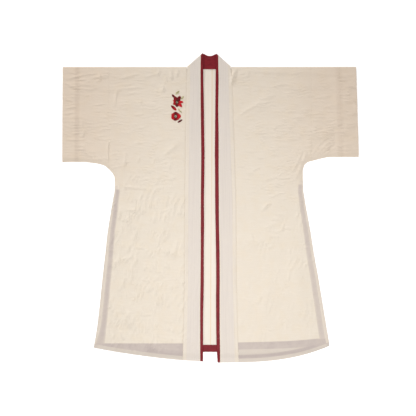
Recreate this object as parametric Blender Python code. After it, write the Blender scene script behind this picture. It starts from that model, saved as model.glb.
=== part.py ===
"""An open-front hanfu robe jacket with wide half-length sleeves, laid flat, face up.

Each half is one length of gauze, front and back in one, folded over the shoulder. The
sleeves are joined at the dropped shoulder. A lined band runs from hem to hem round the
neck, and burgundy facings finish its hems and side slits.

X runs across the jacket, Y up towards its collar and Z up off the surface it lies on.
Left and right are as seen from above with the collar at the top. The origin is the
middle of the box that holds the jacket, at its underside.
"""

import math
from collections import namedtuple

import bpy
from mathutils import Vector

# Every size below is in millimetres, and MM turns it into Blender's metres
MM = 0.001

# The walls, and the space that neighbours keep
CLOTH = 1.2
FACING = 1.0
BINDING = 2.4
GAP = 0.3

# Heights of the middle of a wall: the back on the surface, the front over one or two
# facings, the front where it is sewn to the back, and the front's own hem
BACK_MID = CLOTH / 2
LAYER = CLOTH / 2 + GAP + FACING / 2
LOW_MID = CLOTH + GAP + FACING + GAP + CLOTH / 2
HIGH_MID = LOW_MID + GAP + FACING
SEAM_MID = CLOTH + GAP + CLOTH / 2
HEM_MID = FACING + GAP + CLOTH / 2

# Folds over the shoulder and at the neck, half a turn from the back up to the front
FOLD_RADIUS = (HIGH_MID - BACK_MID) / 2
FOLD_MID = (HIGH_MID + BACK_MID) / 2
FOLD_STEPS = 6
SHOULDER_Y = 507.2
FOLD_Y = SHOULDER_Y - FOLD_RADIUS - CLOTH / 2

# Across the jacket
SLEEVE_SEAM = 364.0
BACK_NECK_Y = 501.1
BACK_COLLAR_TOP = 546.8

# The band and its parts, across its width. The seam's allowance fills the first strip.
SEAM_STRIP = 13.0
TRIM = 10.0

# The facings that have one width, and how far under a slit's top its facing starts
SLIT_FACING_START = 16.0
BACK_HEM_FACING = 26.0
CUFF_DEPTH = 61.0

# How far the front takes to come down to its low height, from where it lies high
TOP_EASE = (14.0, 64.0)
HEM_EASE = (34.0, 78.0)
CUFF_EASE = (66.0, 104.0)
SEAM_EASE = 16.0
OVERHANG_EASE = (3.0, 24.0)
FOLD_FREE = 60.0

# How finely the walls are divided
MAIN_COLUMNS = 12
NECK_COLUMNS = 3
ROW_STEP = 34.0
SLEEVE_COLUMNS = 6
HEM_ROWS_TOP = 62.0
BEND_FROM = 0.0
UNDERARM_ROW = 20.0

Hem = namedtuple("Hem", "centre rise power")
Point = namedtuple("Point", "x y")
Side = namedtuple(
    "Side",
    "name sign corner front_hem back_hem hem_rows hem_facing slit_top slit cuff_top cuff_end "
    "neck turn peak side_edge underarm",
)
Edge = namedtuple("Edge", "height out")
Under = namedtuple("Under", "out height")

# A side slit's facing and the strip of cloth outside it, by the share of the slit's length
Slit = namedtuple("Slit", "down strip width")

LEFT = Side(
    name="left",
    sign=-1,
    corner=421.2,
    front_hem=Hem(centre=-553.0, rise=50.4, power=1.6),
    back_hem=Hem(centre=-518.8, rise=18.8, power=2.0),
    hem_rows=(HEM_ROWS_TOP, 46.0, 33.0, 24.0, 15.0, 0.0),
    hem_facing=(33.0, 15.0),
    slit_top=82.0,
    slit=(
        Slit(down=0.0, strip=4.0, width=12.0),
        Slit(down=0.2, strip=8.5, width=13.0),
        Slit(down=0.6, strip=12.5, width=13.5),
        Slit(down=0.85, strip=12.5, width=17.0),
        Slit(down=1.0, strip=11.0, width=22.0),
    ),
    cuff_top=532.8,
    cuff_end=534.6,
    neck=82.8,
    turn=Point(81.0, 506.5),
    peak=Point(25.2, 554.5),
    side_edge=(
        Edge(height=-503.0, out=421.0),
        Edge(height=-440.0, out=410.5),
        Edge(height=-353.0, out=399.5),
        Edge(height=-260.0, out=389.0),
        Edge(height=-166.0, out=378.0),
        Edge(height=-94.0, out=371.0),
        Edge(height=-22.0, out=360.0),
        Edge(height=28.0, out=352.5),
        Edge(height=66.0, out=344.5),
        Edge(height=108.0, out=344.0),
        Edge(height=122.0, out=349.0),
        Edge(height=139.6, out=SLEEVE_SEAM),
    ),
    underarm=(
        Under(out=SLEEVE_SEAM, height=139.6),
        Under(out=378.0, height=150.8),
        Under(out=400.0, height=158.5),
        Under(out=425.0, height=162.0),
        Under(out=450.0, height=165.2),
        Under(out=511.0, height=165.2),
        Under(out=536.0, height=163.4),
    ),
)
RIGHT = Side(
    name="right",
    sign=1,
    corner=428.4,
    front_hem=Hem(centre=-556.6, rise=61.2, power=2.8),
    back_hem=Hem(centre=-518.8, rise=26.4, power=2.0),
    hem_rows=(HEM_ROWS_TOP, 46.0, 35.0, 26.0, 13.5, 0.0),
    hem_facing=(26.0, 13.5),
    slit_top=100.0,
    slit=(
        Slit(down=0.0, strip=4.0, width=12.0),
        Slit(down=0.2, strip=7.5, width=14.5),
        Slit(down=0.6, strip=10.5, width=17.5),
        Slit(down=1.0, strip=12.5, width=19.0),
    ),
    cuff_top=527.4,
    cuff_end=534.6,
    neck=75.6,
    turn=Point(73.8, 506.5),
    peak=Point(21.6, 553.0),
    side_edge=(
        Edge(height=-496.0, out=428.4),
        Edge(height=-396.0, out=412.0),
        Edge(height=-324.0, out=399.5),
        Edge(height=-238.0, out=385.0),
        Edge(height=-166.0, out=371.0),
        Edge(height=-94.0, out=360.0),
        Edge(height=-36.0, out=349.0),
        Edge(height=36.0, out=337.5),
        Edge(height=66.0, out=333.2),
        Edge(height=129.0, out=333.0),
        Edge(height=151.0, out=338.5),
        Edge(height=165.0, out=353.0),
        Edge(height=168.0, out=SLEEVE_SEAM),
    ),
    underarm=(
        Under(out=SLEEVE_SEAM, height=168.0),
        Under(out=396.0, height=176.5),
        Under(out=432.0, height=183.0),
        Under(out=482.0, height=183.2),
        Under(out=536.0, height=183.2),
    ),
)

# The two long edges of the band on each front: where it is sewn on, and its free edge
Band = namedtuple("Band", "height left_seam left_free right_seam right_free")
BAND = (
    Band(height=-557.0, left_seam=98.0, left_free=27.0, right_seam=103.0, right_free=23.5),
    Band(height=-494.0, left_seam=97.0, left_free=26.6, right_seam=101.0, right_free=23.0),
    Band(height=-260.0, left_seam=92.5, left_free=25.6, right_seam=95.4, right_free=21.6),
    Band(height=28.0, left_seam=91.1, left_free=22.7, right_seam=93.6, right_free=19.8),
    Band(height=316.0, left_seam=87.5, left_free=23.8, right_seam=84.6, right_free=18.4),
    Band(height=460.0, left_seam=84.2, left_free=25.6, right_seam=79.2, right_free=20.2),
    Band(height=507.2, left_seam=82.8, left_free=25.6, right_seam=75.6, right_free=20.4),
)

# The largest folds of the cloth: soft ridges, each with the middle of its crest, its
# half length and half width, its direction from +X and its height
Ridge = namedtuple("Ridge", "x y length width angle height")
RIDGES = (
    Ridge(x=333, y=172, length=62, width=13, angle=68, height=4.0),
    Ridge(x=394, y=246, length=66, width=13, angle=38, height=4.2),
    Ridge(x=386, y=208, length=64, width=12, angle=33, height=3.6),
    Ridge(x=310, y=206, length=58, width=15, angle=76, height=2.6),
    Ridge(x=328, y=440, length=104, width=17, angle=-2, height=3.0),
    Ridge(x=170, y=366, length=66, width=18, angle=32, height=3.0),
    Ridge(x=236, y=296, length=88, width=22, angle=8, height=2.2),
    Ridge(x=470, y=372, length=62, width=20, angle=-6, height=2.4),
    Ridge(x=238, y=-44, length=56, width=17, angle=43, height=3.0),
    Ridge(x=160, y=-122, length=62, width=18, angle=4, height=2.4),
    Ridge(x=322, y=26, length=50, width=14, angle=72, height=3.0),
    Ridge(x=318, y=-286, length=112, width=24, angle=98, height=2.8),
    Ridge(x=196, y=-352, length=110, width=26, angle=82, height=2.4),
    Ridge(x=-140, y=212, length=40, width=14, angle=46, height=2.8),
    Ridge(x=-426, y=202, length=50, width=15, angle=-28, height=3.2),
    Ridge(x=-352, y=206, length=52, width=14, angle=94, height=3.0),
    Ridge(x=-370, y=432, length=92, width=19, angle=-9, height=2.8),
    Ridge(x=-236, y=372, length=92, width=24, angle=-4, height=2.2),
    Ridge(x=-462, y=318, length=64, width=19, angle=5, height=2.4),
    Ridge(x=-281, y=-224, length=62, width=14, angle=93, height=3.4),
    Ridge(x=-288, y=-392, length=48, width=15, angle=104, height=3.2),
    Ridge(x=-166, y=-72, length=46, width=15, angle=78, height=2.8),
    Ridge(x=-298, y=-8, length=60, width=17, angle=12, height=2.6),
    Ridge(x=-186, y=-318, length=118, width=24, angle=99, height=2.4),
)

# Rows of points down the back and the front, by their height at the middle. A side's
# hem_rows are those near the front's hem, by how far above it they lie.
UPPER_ROWS = (488, 466, 440, 412, 384, 354, 324, 294, 266, 242, 222, 204)
UNDERARM_ROWS = {
    "left": (186, 168, 152, 139.6, 136, 129, 122, 108, 88, 66),
    "right": (190, 178, 168, 166.5, 165, 158, 151, 140, 129, 106, 66),
}
BACK_UPPER_ROWS = (440, 370, 300, 240)
BACK_HEM_ROWS = (HEM_ROWS_TOP, BACK_HEM_FACING, 0.0)
SLEEVE_FRONT_ROWS = (0.05, 0.12, 0.19, 0.27, 0.35, 0.43, 0.51, 0.59, 0.67, 0.75, 0.83, 0.91, 1.0)
SLEEVE_BACK_ROWS = (1.0, 0.75, 0.5, 0.25)
SLEEVE_EDGE_ROWS = (8.0, 0.0)

# Colours are linear, with the roughness of soft cotton gauze or of satin
Finish = namedtuple("Finish", "name colour roughness")
GAUZE = Finish("cream gauze", (0.82, 0.74, 0.64, 1.0), 0.85)
BURGUNDY = Finish("burgundy satin", (0.20, 0.020, 0.028, 1.0), 0.55)


def between(start, end, share):
    return start + (end - start) * share


def ease(start, end, at):
    """0 before start, 1 after end, and a smooth step between them."""
    share = min(1.0, max(0.0, (at - start) / (end - start)))
    return share * share * (3.0 - 2.0 * share)


def curve(table, at):
    """The smooth curve through a table of (place, value) pairs that never overshoots them."""
    places = [pair[0] for pair in table]
    values = [pair[1] for pair in table]
    at = min(places[-1], max(places[0], at))
    steps = [places[i + 1] - places[i] for i in range(len(places) - 1)]
    climbs = [(values[i + 1] - values[i]) / steps[i] for i in range(len(steps))]
    slopes = [climbs[0]]
    for before, after in zip(climbs, climbs[1:]):
        turning = before * after <= 0.0
        slopes.append(0.0 if turning else 2.0 * before * after / (before + after))
    slopes.append(climbs[-1])
    i = max(k for k in range(len(steps)) if at >= places[k])
    t = (at - places[i]) / steps[i]
    return (
        values[i] * (1 + 2 * t) * (1 - t) ** 2
        + values[i + 1] * t * t * (3 - 2 * t)
        + slopes[i] * steps[i] * t * (1 - t) ** 2
        - slopes[i + 1] * steps[i] * t * t * (1 - t)
    )


def hem_y(side, hem, x):
    return hem.centre + hem.rise * (x / side.corner) ** hem.power


def side_x(side, y):
    """How far the body reaches from the middle at this height."""
    if y >= side.side_edge[-1].height:
        return SLEEVE_SEAM
    return curve(side.side_edge, y)


def underarm_y(side, x):
    return curve(side.underarm, x)


def band_x(side, y, edge):
    """How far the band's seam or free edge lies from the middle at this height."""
    return curve([(row.height, getattr(row, f"{side.name}_{edge}")) for row in BAND], y)


def cuff_x(side, y):
    low = side.underarm[-1].height
    return between(side.cuff_end, side.cuff_top, (y - low) / (SHOULDER_Y - low))


def sewn_edge(side):
    """Points along the seam that closes the sleeve and the top of the side."""
    sleeve = [Point(out, underarm_y(side, out)) for out in range(540, int(SLEEVE_SEAM), -12)]
    top = side.side_edge[-1].height
    steps = 8
    heights = [between(top, side.slit_top, i / steps) for i in range(steps + 1)]
    return sleeve + [Point(side_x(side, y), y) for y in heights]


SEWN = {side.name: sewn_edge(side) for side in (LEFT, RIGHT)}


def sewn_distance(side, x, y):
    """How far a point lies from the sewn edge."""
    nearest = math.inf
    line = SEWN[side.name]
    for a, b in zip(line, line[1:]):
        dx, dy = b.x - a.x, b.y - a.y
        share = ((x - a.x) * dx + (y - a.y) * dy) / (dx * dx + dy * dy)
        share = min(1.0, max(0.0, share))
        nearest = min(nearest, math.hypot(x - a.x - share * dx, y - a.y - share * dy))
    return nearest


def ridges(side, x, y):
    total = 0.0
    for ridge in RIDGES:
        turn = math.radians(ridge.angle)
        dx, dy = side.sign * x - ridge.x, y - ridge.y
        along = (dx * math.cos(turn) + dy * math.sin(turn)) / ridge.length
        across = (dy * math.cos(turn) - dx * math.sin(turn)) / ridge.width
        total += ridge.height * math.exp(-along * along - across * across)
    return total


def front_mid(side, x, y):
    """The height of the middle of the front's wall over the surface."""
    back_hem = hem_y(side, side.back_hem, x)
    low = (
        ease(*TOP_EASE, FOLD_Y - y)
        * ease(*HEM_EASE, y - back_hem)
        * ease(*CUFF_EASE, cuff_x(side, y) - x)
    )
    height = between(HIGH_MID, LOW_MID, low)
    height += ridges(side, x, y) * ease(0.0, FOLD_FREE, FOLD_Y - y)
    height = between(SEAM_MID, height, ease(0.0, SEAM_EASE, sewn_distance(side, x, y)))
    return between(height, HEM_MID, ease(*OVERHANG_EASE, back_hem - y))


def row_y(side, hem, x, centre):
    """A row's height at x: level at the underarm, and parallel to the hem near it."""
    share = (BEND_FROM - centre) / (BEND_FROM - hem.centre - HEM_ROWS_TOP)
    return centre + (hem_y(side, hem, x) - hem.centre) * min(1.0, max(0.0, share))


def body_columns(side, y, inner):
    """The places of a body row's points, from its inner edge to its side edge."""
    outer = side_x(side, y) - GAP / 2
    hem = side.side_edge[0].height
    down = min(1.0, max(0.0, (side.slit_top - y) / (side.slit_top - hem)))
    strip = outer - curve([(row.down, row.strip) for row in side.slit], down)
    faced = strip - curve([(row.down, row.width) for row in side.slit], down)
    inside = [between(inner, faced, i / MAIN_COLUMNS) for i in range(MAIN_COLUMNS + 1)]
    return inside + [strip, outer]


def level_row(side, hem, centre, inner_at):
    """A row's points, found by letting each place and its height settle on each other."""
    count = MAIN_COLUMNS + 3
    heights = [centre] * count
    for _ in range(6):
        places = [body_columns(side, y, inner_at(y))[i] for i, y in enumerate(heights)]
        heights = [row_y(side, hem, x, centre) for x in places]
    return list(zip(places, heights))


def step_rows(start, end, step):
    count = math.ceil((start - end) / step)
    return [between(start, end, i / count) for i in range(1, count)]


def front_centres(side):
    """Row heights at the middle, down the front from the shoulder fold."""
    under = UNDERARM_ROWS[side.name]
    hem = [side.front_hem.centre + rise for rise in side.hem_rows]
    return [*UPPER_ROWS, *under, *step_rows(under[-1], hem[0], ROW_STEP), *hem]


def back_centres(side):
    """Row heights at the middle, up the back from its hem to the neck."""
    under = UNDERARM_ROWS[side.name]
    hem = [side.back_hem.centre + rise for rise in BACK_HEM_ROWS]
    down = [BACK_NECK_Y - GAP / 2, *BACK_UPPER_ROWS, *under]
    down += step_rows(under[-1], hem[0], 2 * ROW_STEP) + hem
    return down[::-1]


def fold_angles():
    return [math.pi * (i / FOLD_STEPS - 0.5) for i in range(FOLD_STEPS + 1)]


def body_grid(side):
    """Rows of points from the back hem, over the shoulder, to the front hem.

    The first columns reach from the centre back seam to the neck. They end at the back
    neck, so the rows above it hold None there.
    """
    rows = []
    neck = side.neck + GAP / 2
    for centre in back_centres(side):
        outer = level_row(side, side.back_hem, centre, lambda y: neck)
        places = [between(GAP / 2, neck, i / NECK_COLUMNS) for i in range(NECK_COLUMNS)]
        inner = [(x, row_y(side, side.back_hem, x, centre)) for x in places]
        rows.append([Vector((side.sign * x, y, BACK_MID)) for x, y in inner + outer])
    skipped = [None] * NECK_COLUMNS
    for angle in fold_angles():
        y = FOLD_Y + FOLD_RADIUS * math.cos(angle)
        z = FOLD_MID + FOLD_RADIUS * math.sin(angle)
        places = body_columns(side, FOLD_Y, neck)
        rows.append(skipped + [Vector((side.sign * x, y, z)) for x in places])
    for centre in front_centres(side):
        points = level_row(
            side, side.front_hem, centre, lambda y: band_x(side, y, "seam") + GAP / 2
        )
        rows.append(
            skipped + [Vector((side.sign * x, y, front_mid(side, x, y))) for x, y in points]
        )
    return rows


def sleeve_columns(side, y):
    cuff = cuff_x(side, y)
    start = SLEEVE_SEAM + GAP / 2
    inside = [
        between(start, cuff - CUFF_DEPTH, i / SLEEVE_COLUMNS) for i in range(SLEEVE_COLUMNS + 1)
    ]
    return inside + [cuff - CUFF_DEPTH / 2, cuff]


def sleeve_row(side, height_at, z_at):
    """One row of the sleeve, its height given at each place along it."""
    count = SLEEVE_COLUMNS + 3
    heights = [height_at(SLEEVE_SEAM)] * count
    for _ in range(4):
        places = [sleeve_columns(side, y)[i] for i, y in enumerate(heights)]
        heights = [height_at(x) for x in places]
    return [Vector((side.sign * x, y, z_at(x, y))) for x, y in zip(places, heights)]


def sleeve_grid(side):
    """Rows of points from the back's underarm edge, over the top, to the front's."""

    def share_row(share, z_at):
        def height_at(x):
            return between(FOLD_Y, underarm_y(side, x) + UNDERARM_ROW, share)

        return sleeve_row(side, height_at, z_at)

    def edge_row(rise, z_at):
        return sleeve_row(side, lambda x: underarm_y(side, x) + rise, z_at)

    def back_z(x, y):
        return BACK_MID

    def front_z(x, y):
        return front_mid(side, x, y)

    rows = [edge_row(0.0, back_z)]
    rows += [share_row(share, back_z) for share in SLEEVE_BACK_ROWS]
    for angle in fold_angles():
        y = FOLD_Y + FOLD_RADIUS * math.cos(angle)
        z = FOLD_MID + FOLD_RADIUS * math.sin(angle)
        rows.append([Vector((side.sign * x, y, z)) for x in sleeve_columns(side, FOLD_Y)])
    rows += [share_row(share, front_z) for share in SLEEVE_FRONT_ROWS]
    rows += [edge_row(rise, front_z) for rise in SLEEVE_EDGE_ROWS]
    return rows


# A line across the band: its seam end, its free end, and where round a fold it lies
Line = namedtuple("Line", "side seam free angle")
FAN_ROWS = (0.30, 0.55, 0.78, 1.0)
FAN_FROM = 2
BACK_FAN_ROWS = (0.25, 0.5, 0.75)


def front_lines(side):
    """Lines across the band up one front, turning to the slant of the neck fold."""
    centres = front_centres(side)[FAN_FROM:]
    lines = []
    for centre in reversed(centres):
        ends = []
        for edge in ("seam", "free"):
            y = centre
            for _ in range(4):
                x = band_x(side, y, edge)
                y = row_y(side, side.front_hem, x, centre)
            ends.append(Point(x - (GAP / 2 if edge == "seam" else 0.0), y))
        lines.append(Line(side, ends[0], ends[1], None))
    below = lines[-1]
    for share in FAN_ROWS:
        seam_y = between(below.seam.y, side.turn.y, share)
        sewn = band_x(side, seam_y, "seam") - GAP / 2
        seam_x = between(sewn, side.turn.x, share**6)
        free_x = between(below.free.x, side.peak.x, share)
        free_y = between(below.free.y, side.peak.y, share)
        lines.append(Line(side, Point(seam_x, seam_y), Point(free_x, free_y), None))
    return lines


def turned_lines(side):
    """The slanting line round the half turn that takes the band behind the neck."""
    return [Line(side, side.turn, side.peak, angle) for angle in reversed(fold_angles())][1:]


def back_lines(side):
    """Lines across the band behind the neck, from the fold towards the middle."""
    lines = []
    for share in BACK_FAN_ROWS:
        seam = Point(
            between(side.turn.x, 0.0, share),
            between(side.turn.y, BACK_NECK_Y + GAP / 2, ease(0.0, 1.0, share)),
        )
        free = Point(
            between(side.peak.x, 0.0, share),
            between(side.peak.y, BACK_COLLAR_TOP, ease(0.0, 1.0, share)),
        )
        lines.append(Line(side, seam, free, -math.pi / 2))
    return lines


def band_lines():
    left = front_lines(LEFT) + turned_lines(LEFT) + back_lines(LEFT)
    right = front_lines(RIGHT) + turned_lines(RIGHT) + back_lines(RIGHT)
    middle = Line(
        LEFT, Point(0.0, BACK_NECK_Y + GAP / 2), Point(0.0, BACK_COLLAR_TOP), -math.pi / 2
    )
    return left + [middle] + right[::-1]


def band_point(line, from_seam, from_free):
    """A point on a line across the band, so far from its seam end or its free end."""
    width = math.hypot(line.free.x - line.seam.x, line.free.y - line.seam.y)
    along = from_seam if from_free is None else width - from_free
    x = between(line.seam.x, line.free.x, along / width)
    y = between(line.seam.y, line.free.y, along / width)
    if line.angle is None:
        return Vector((line.side.sign * x, y, front_mid(line.side, x, y)))
    outward = Point((line.free.y - line.seam.y) / width, (line.seam.x - line.free.x) / width)
    x += outward.x * FOLD_RADIUS * math.cos(line.angle)
    y += outward.y * FOLD_RADIUS * math.cos(line.angle)
    return Vector((line.side.sign * x, y, FOLD_MID + FOLD_RADIUS * math.sin(line.angle)))


def band_grid(*columns):
    """The band's points on the given columns, each (distance from seam, from free edge)."""
    return [[band_point(line, *column) for column in columns] for line in band_lines()]


def cell_is_there(grid, r, c):
    corners = (grid[r][c], grid[r][c + 1], grid[r + 1][c + 1], grid[r + 1][c])
    return all(corner is not None for corner in corners)


def normals_of(grid, turn):
    """The outward direction at each point, from the cells round it."""
    normals = [[Vector((0, 0, 0)) for _ in row] for row in grid]
    for r in range(len(grid) - 1):
        for c in range(len(grid[0]) - 1):
            if not cell_is_there(grid, r, c):
                continue
            across = grid[r][c + 1] + grid[r + 1][c + 1] - grid[r][c] - grid[r + 1][c]
            down = grid[r + 1][c] + grid[r + 1][c + 1] - grid[r][c] - grid[r][c + 1]
            normal = across.cross(down).normalized() * turn
            for i, j in ((r, c), (r, c + 1), (r + 1, c + 1), (r + 1, c)):
                normals[i][j] += normal
    return [[normal.normalized() for normal in row] for row in normals]


def drawn_in(grid, start, end, first, last):
    """The grid with its first and last rows and columns moved in by these distances."""

    def towards(point, neighbour, distance):
        return point + (neighbour - point).normalized() * distance

    grid = [list(row) for row in grid]
    grid[0] = [towards(a, b, start) for a, b in zip(grid[0], grid[1])]
    grid[-1] = [towards(a, b, end) for a, b in zip(grid[-1], grid[-2])]
    for row in grid:
        near, far = row[:2], row[-2:]
        row[0] = towards(near[0], near[1], first)
        row[-1] = towards(far[1], far[0], last)
    return grid


def material_of(finish):
    material = bpy.data.materials.get(finish.name)
    if material is None:
        material = bpy.data.materials.new(finish.name)
        material.use_nodes = True
        shader = material.node_tree.nodes["Principled BSDF"]
        shader.inputs["Base Color"].default_value = finish.colour
        shader.inputs["Roughness"].default_value = finish.roughness
        shader.inputs["Metallic"].default_value = 0.0
    return material


def wall(name, grid, normals, thickness, finish, shift=0.0):
    """A closed wall of cloth: the grid's surface moved along its normals both ways.

    The normals are those of the surface that it lies on, so that layers stay parallel.
    """
    rows, columns = len(grid), len(grid[0])
    turn = 1
    cells = [
        (r, c) for r in range(rows - 1) for c in range(columns - 1) if cell_is_there(grid, r, c)
    ]
    points, index = [], {}
    for r, c in sorted({(r + i, c + j) for r, c in cells for i in (0, 1) for j in (0, 1)}):
        for level in (1, -1):
            index[r, c, level] = len(points)
            offset = shift + level * thickness / 2
            points.append((grid[r][c] + normals[r][c] * offset) * MM)
    faces, edges = [], set()
    sample_r, sample_c = cells[0]
    across = grid[sample_r][sample_c + 1] - grid[sample_r][sample_c]
    down = grid[sample_r + 1][sample_c] - grid[sample_r][sample_c]
    if across.cross(down).dot(normals[sample_r][sample_c]) < 0:
        turn = -1
    for r, c in cells:
        ring = [(r, c), (r, c + 1), (r + 1, c + 1), (r + 1, c)][::turn]
        corner = ring.index((r, c))
        ring = ring[corner:] + ring[:corner]
        top = [index[i, j, 1] for i, j in ring]
        low = [index[i, j, -1] for i, j in ring]
        faces += [(top[0], top[1], top[2]), (top[0], top[2], top[3])]
        faces += [(low[0], low[2], low[1]), (low[0], low[3], low[2])]
        for start, end in zip(ring, ring[1:] + ring[:1]):
            if (end, start) in edges:
                edges.remove((end, start))
            else:
                edges.add((start, end))
    for start, end in sorted(edges):
        a, b = index[(*start, 1)], index[(*end, 1)]
        d, e = index[(*start, -1)], index[(*end, -1)]
        faces += [(b, a, d), (b, d, e)]
    mesh = bpy.data.meshes.new(name)
    mesh.from_pydata(points, [], faces)
    mesh.materials.append(material_of(finish))
    mesh.shade_smooth()
    mesh.set_sharp_from_angle(angle=math.radians(50))
    mesh.update()
    obj = bpy.data.objects.new(name, mesh)
    bpy.context.scene.collection.objects.link(obj)
    return obj


def part_of(grid, rows, columns):
    """The points of some rows and columns of a grid, each given as a slice."""
    return [row[columns] for row in grid[rows]]


def facing(name, grid, normals, rows, columns, finish, inset):
    """A strip under part of a wall, made from the wall's own points."""
    strip = drawn_in(part_of(grid, rows, columns), *inset)
    return wall(name, strip, part_of(normals, rows, columns), FACING, finish, -LAYER)


def build_half(side):
    """One half of the body, with its front facings. Returns its grid and its normals."""
    grid = body_grid(side)
    normals = normals_of(grid, -side.sign)
    wall(f"body_{side.name}", grid, normals, CLOTH, GAUZE)
    first = len(grid) - len(front_centres(side))
    centres = front_centres(side)
    start = side.slit_top - SLIT_FACING_START
    slit_start = first + next(i for i, y in enumerate(centres) if y < start)
    hem_rows = len(grid) - len(side.hem_rows)
    top_row, hem_row = (hem_rows + side.hem_rows.index(rise) for rise in side.hem_facing)
    inner = NECK_COLUMNS
    joint = NECK_COLUMNS + MAIN_COLUMNS
    facing(
        f"front_slit_facing_{side.name}",
        grid,
        normals,
        slice(slit_start, hem_row + 1),
        slice(joint, joint + 2),
        BURGUNDY,
        (0.0, 0.0, 0.0, 0.0),
    )
    facing(
        f"front_hem_facing_{side.name}",
        grid,
        normals,
        slice(top_row, hem_row + 1),
        slice(inner, joint + 1),
        BURGUNDY,
        (0.0, 0.0, GAP, GAP),
    )
    return grid, normals


def build_back_hem_facing(halves):
    """The back hem's facing, one strip across both halves."""
    rows = slice(0, len(BACK_HEM_ROWS) - 1)
    strips = []
    for grid, normals in halves:
        columns = slice(0, NECK_COLUMNS + MAIN_COLUMNS + 2)
        strips.append((part_of(grid, rows, columns), part_of(normals, rows, columns)))
    (left, left_normals), (right, right_normals) = strips
    grid = [a[::-1] + b[1:] for a, b in zip(left, right)]
    normals = [a[::-1] + b[1:] for a, b in zip(left_normals, right_normals)]
    grid = drawn_in(grid, 2.0, 0.0, 0.0, 0.0)
    wall("back_hem_facing", grid, normals, FACING, BURGUNDY, -LAYER)


def build_sleeve(side):
    grid = sleeve_grid(side)
    normals = normals_of(grid, -side.sign)
    wall(f"sleeve_{side.name}", grid, normals, CLOTH, GAUZE)
    last = len(grid) - len(SLEEVE_EDGE_ROWS)
    facing(
        f"cuff_facing_{side.name}",
        grid,
        normals,
        slice(1, last),
        slice(SLEEVE_COLUMNS, SLEEVE_COLUMNS + 3),
        GAUZE,
        (0.0, 0.0, 0.0, 2.0),
    )


def build_band():
    """The collar band, its lining and the binding on its free edge."""
    band = band_grid((0.0, None), (SEAM_STRIP, None), (None, TRIM + GAP))
    normals = normals_of(band, 1)
    wall("collar_band", band, normals, CLOTH, GAUZE)
    wall("collar_lining", band, normals, FACING, BURGUNDY, -LAYER)
    trim = band_grid((None, TRIM), (None, 0.0))
    middle = -(GAP + FACING) / 2
    wall("collar_trim", trim, normals_of(trim, 1), BINDING, BURGUNDY, middle)


def main():
    for obj in list(bpy.data.objects):
        bpy.data.objects.remove(obj)
    halves = [build_half(side) for side in (LEFT, RIGHT)]
    build_back_hem_facing(halves)
    for side in (LEFT, RIGHT):
        build_sleeve(side)
    build_band()


main()
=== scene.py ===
# %% [markdown]
# # A hanfu robe jacket, laid flat
#
# This lesson dresses a plain CAD model of an open-front robe jacket. The real one is sewn
# from cream crinkled gauze, with a lined band round its neck and burgundy satin inside its
# hems. The CAD model fixes the size and the places, so the first step loads it as a frame.

import math
from collections import namedtuple

import bpy
import numpy as np
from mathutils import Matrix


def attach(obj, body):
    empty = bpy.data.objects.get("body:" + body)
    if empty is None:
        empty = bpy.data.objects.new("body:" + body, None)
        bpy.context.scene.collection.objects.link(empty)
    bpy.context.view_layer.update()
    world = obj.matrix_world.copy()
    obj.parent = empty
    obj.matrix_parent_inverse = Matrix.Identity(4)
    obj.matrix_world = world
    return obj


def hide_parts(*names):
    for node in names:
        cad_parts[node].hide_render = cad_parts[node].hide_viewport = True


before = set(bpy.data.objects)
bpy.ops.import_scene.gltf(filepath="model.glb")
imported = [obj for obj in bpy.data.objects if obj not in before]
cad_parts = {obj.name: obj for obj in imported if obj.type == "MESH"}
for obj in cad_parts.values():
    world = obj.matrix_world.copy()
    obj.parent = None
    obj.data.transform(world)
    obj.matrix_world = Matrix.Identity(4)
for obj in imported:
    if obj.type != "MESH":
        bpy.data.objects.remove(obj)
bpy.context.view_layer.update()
print("CAD nodes:", sorted(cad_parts))

# %% [markdown]
# ## Camera, surface and light
#
# The jacket is seen from straight above, on plain white. One could model a studio, but a
# white floor and a few large, soft area lights give the same look. A long lens from three
# metres up keeps the edges square. One lamp stands low on the far side, so that each small
# crease gets a lit side and a shaded side, and the others only fill.

# %% The camera looks straight down
MM = 0.001
FRAME_WIDTH = 1497.6 * MM
FRAME_CENTRE = (-7.2 * MM, -0.4 * MM)
LENS = 80.0
SENSOR = 36.0

camera_data = bpy.data.cameras.new("camera")
camera_data.lens = LENS
camera_data.sensor_width = SENSOR
camera = bpy.data.objects.new("camera", camera_data)
camera.location = (*FRAME_CENTRE, FRAME_WIDTH * LENS / SENSOR)
bpy.context.scene.collection.objects.link(camera)
bpy.context.scene.camera = camera
print("camera height:", round(camera.location.z, 3), "m")


# %% One function turns a hex colour to linear, and one adds a node
def colour(hex_code):
    """The linear RGBA of an sRGB hex colour."""
    channels = [int(hex_code[i : i + 2], 16) / 255 for i in (1, 3, 5)]
    linear = [c / 12.92 if c <= 0.04045 else ((c + 0.055) / 1.055) ** 2.4 for c in channels]
    return (*linear, 1.0)


def add(tree, kind, settings=None, **links):
    """A node of this kind, with its settings, and its inputs set or linked by name.

    An input's name is its own label with underscores, or in_ and its number.
    """
    node = tree.nodes.new(kind)
    for name, value in (settings or {}).items():
        setattr(node, name, value)
    for name, value in links.items():
        key = int(name[3:]) if name[:3] == "in_" else name.replace("_", " ")
        socket = node.inputs[key]
        if isinstance(value, bpy.types.NodeSocket):
            tree.links.new(value, socket)
        else:
            socket.default_value = value
    return node


# %% The white surface it lies on
# Matt white board, pressed smooth: it scatters light evenly, so the eye sees no shine and
# no edge on it. Its faint grain is drawn at 0.9 grains a millimetre.
BOARD_GRAINS = 0.9 / MM
FLOOR_SIZE = 9.0
FLOOR_DROP = 0.2 * MM


def blank_material(name):
    """A material without nodes, and its node tree."""
    material = bpy.data.materials.new(name)
    material.use_nodes = True
    material.node_tree.nodes.clear()
    return material, material.node_tree


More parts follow.
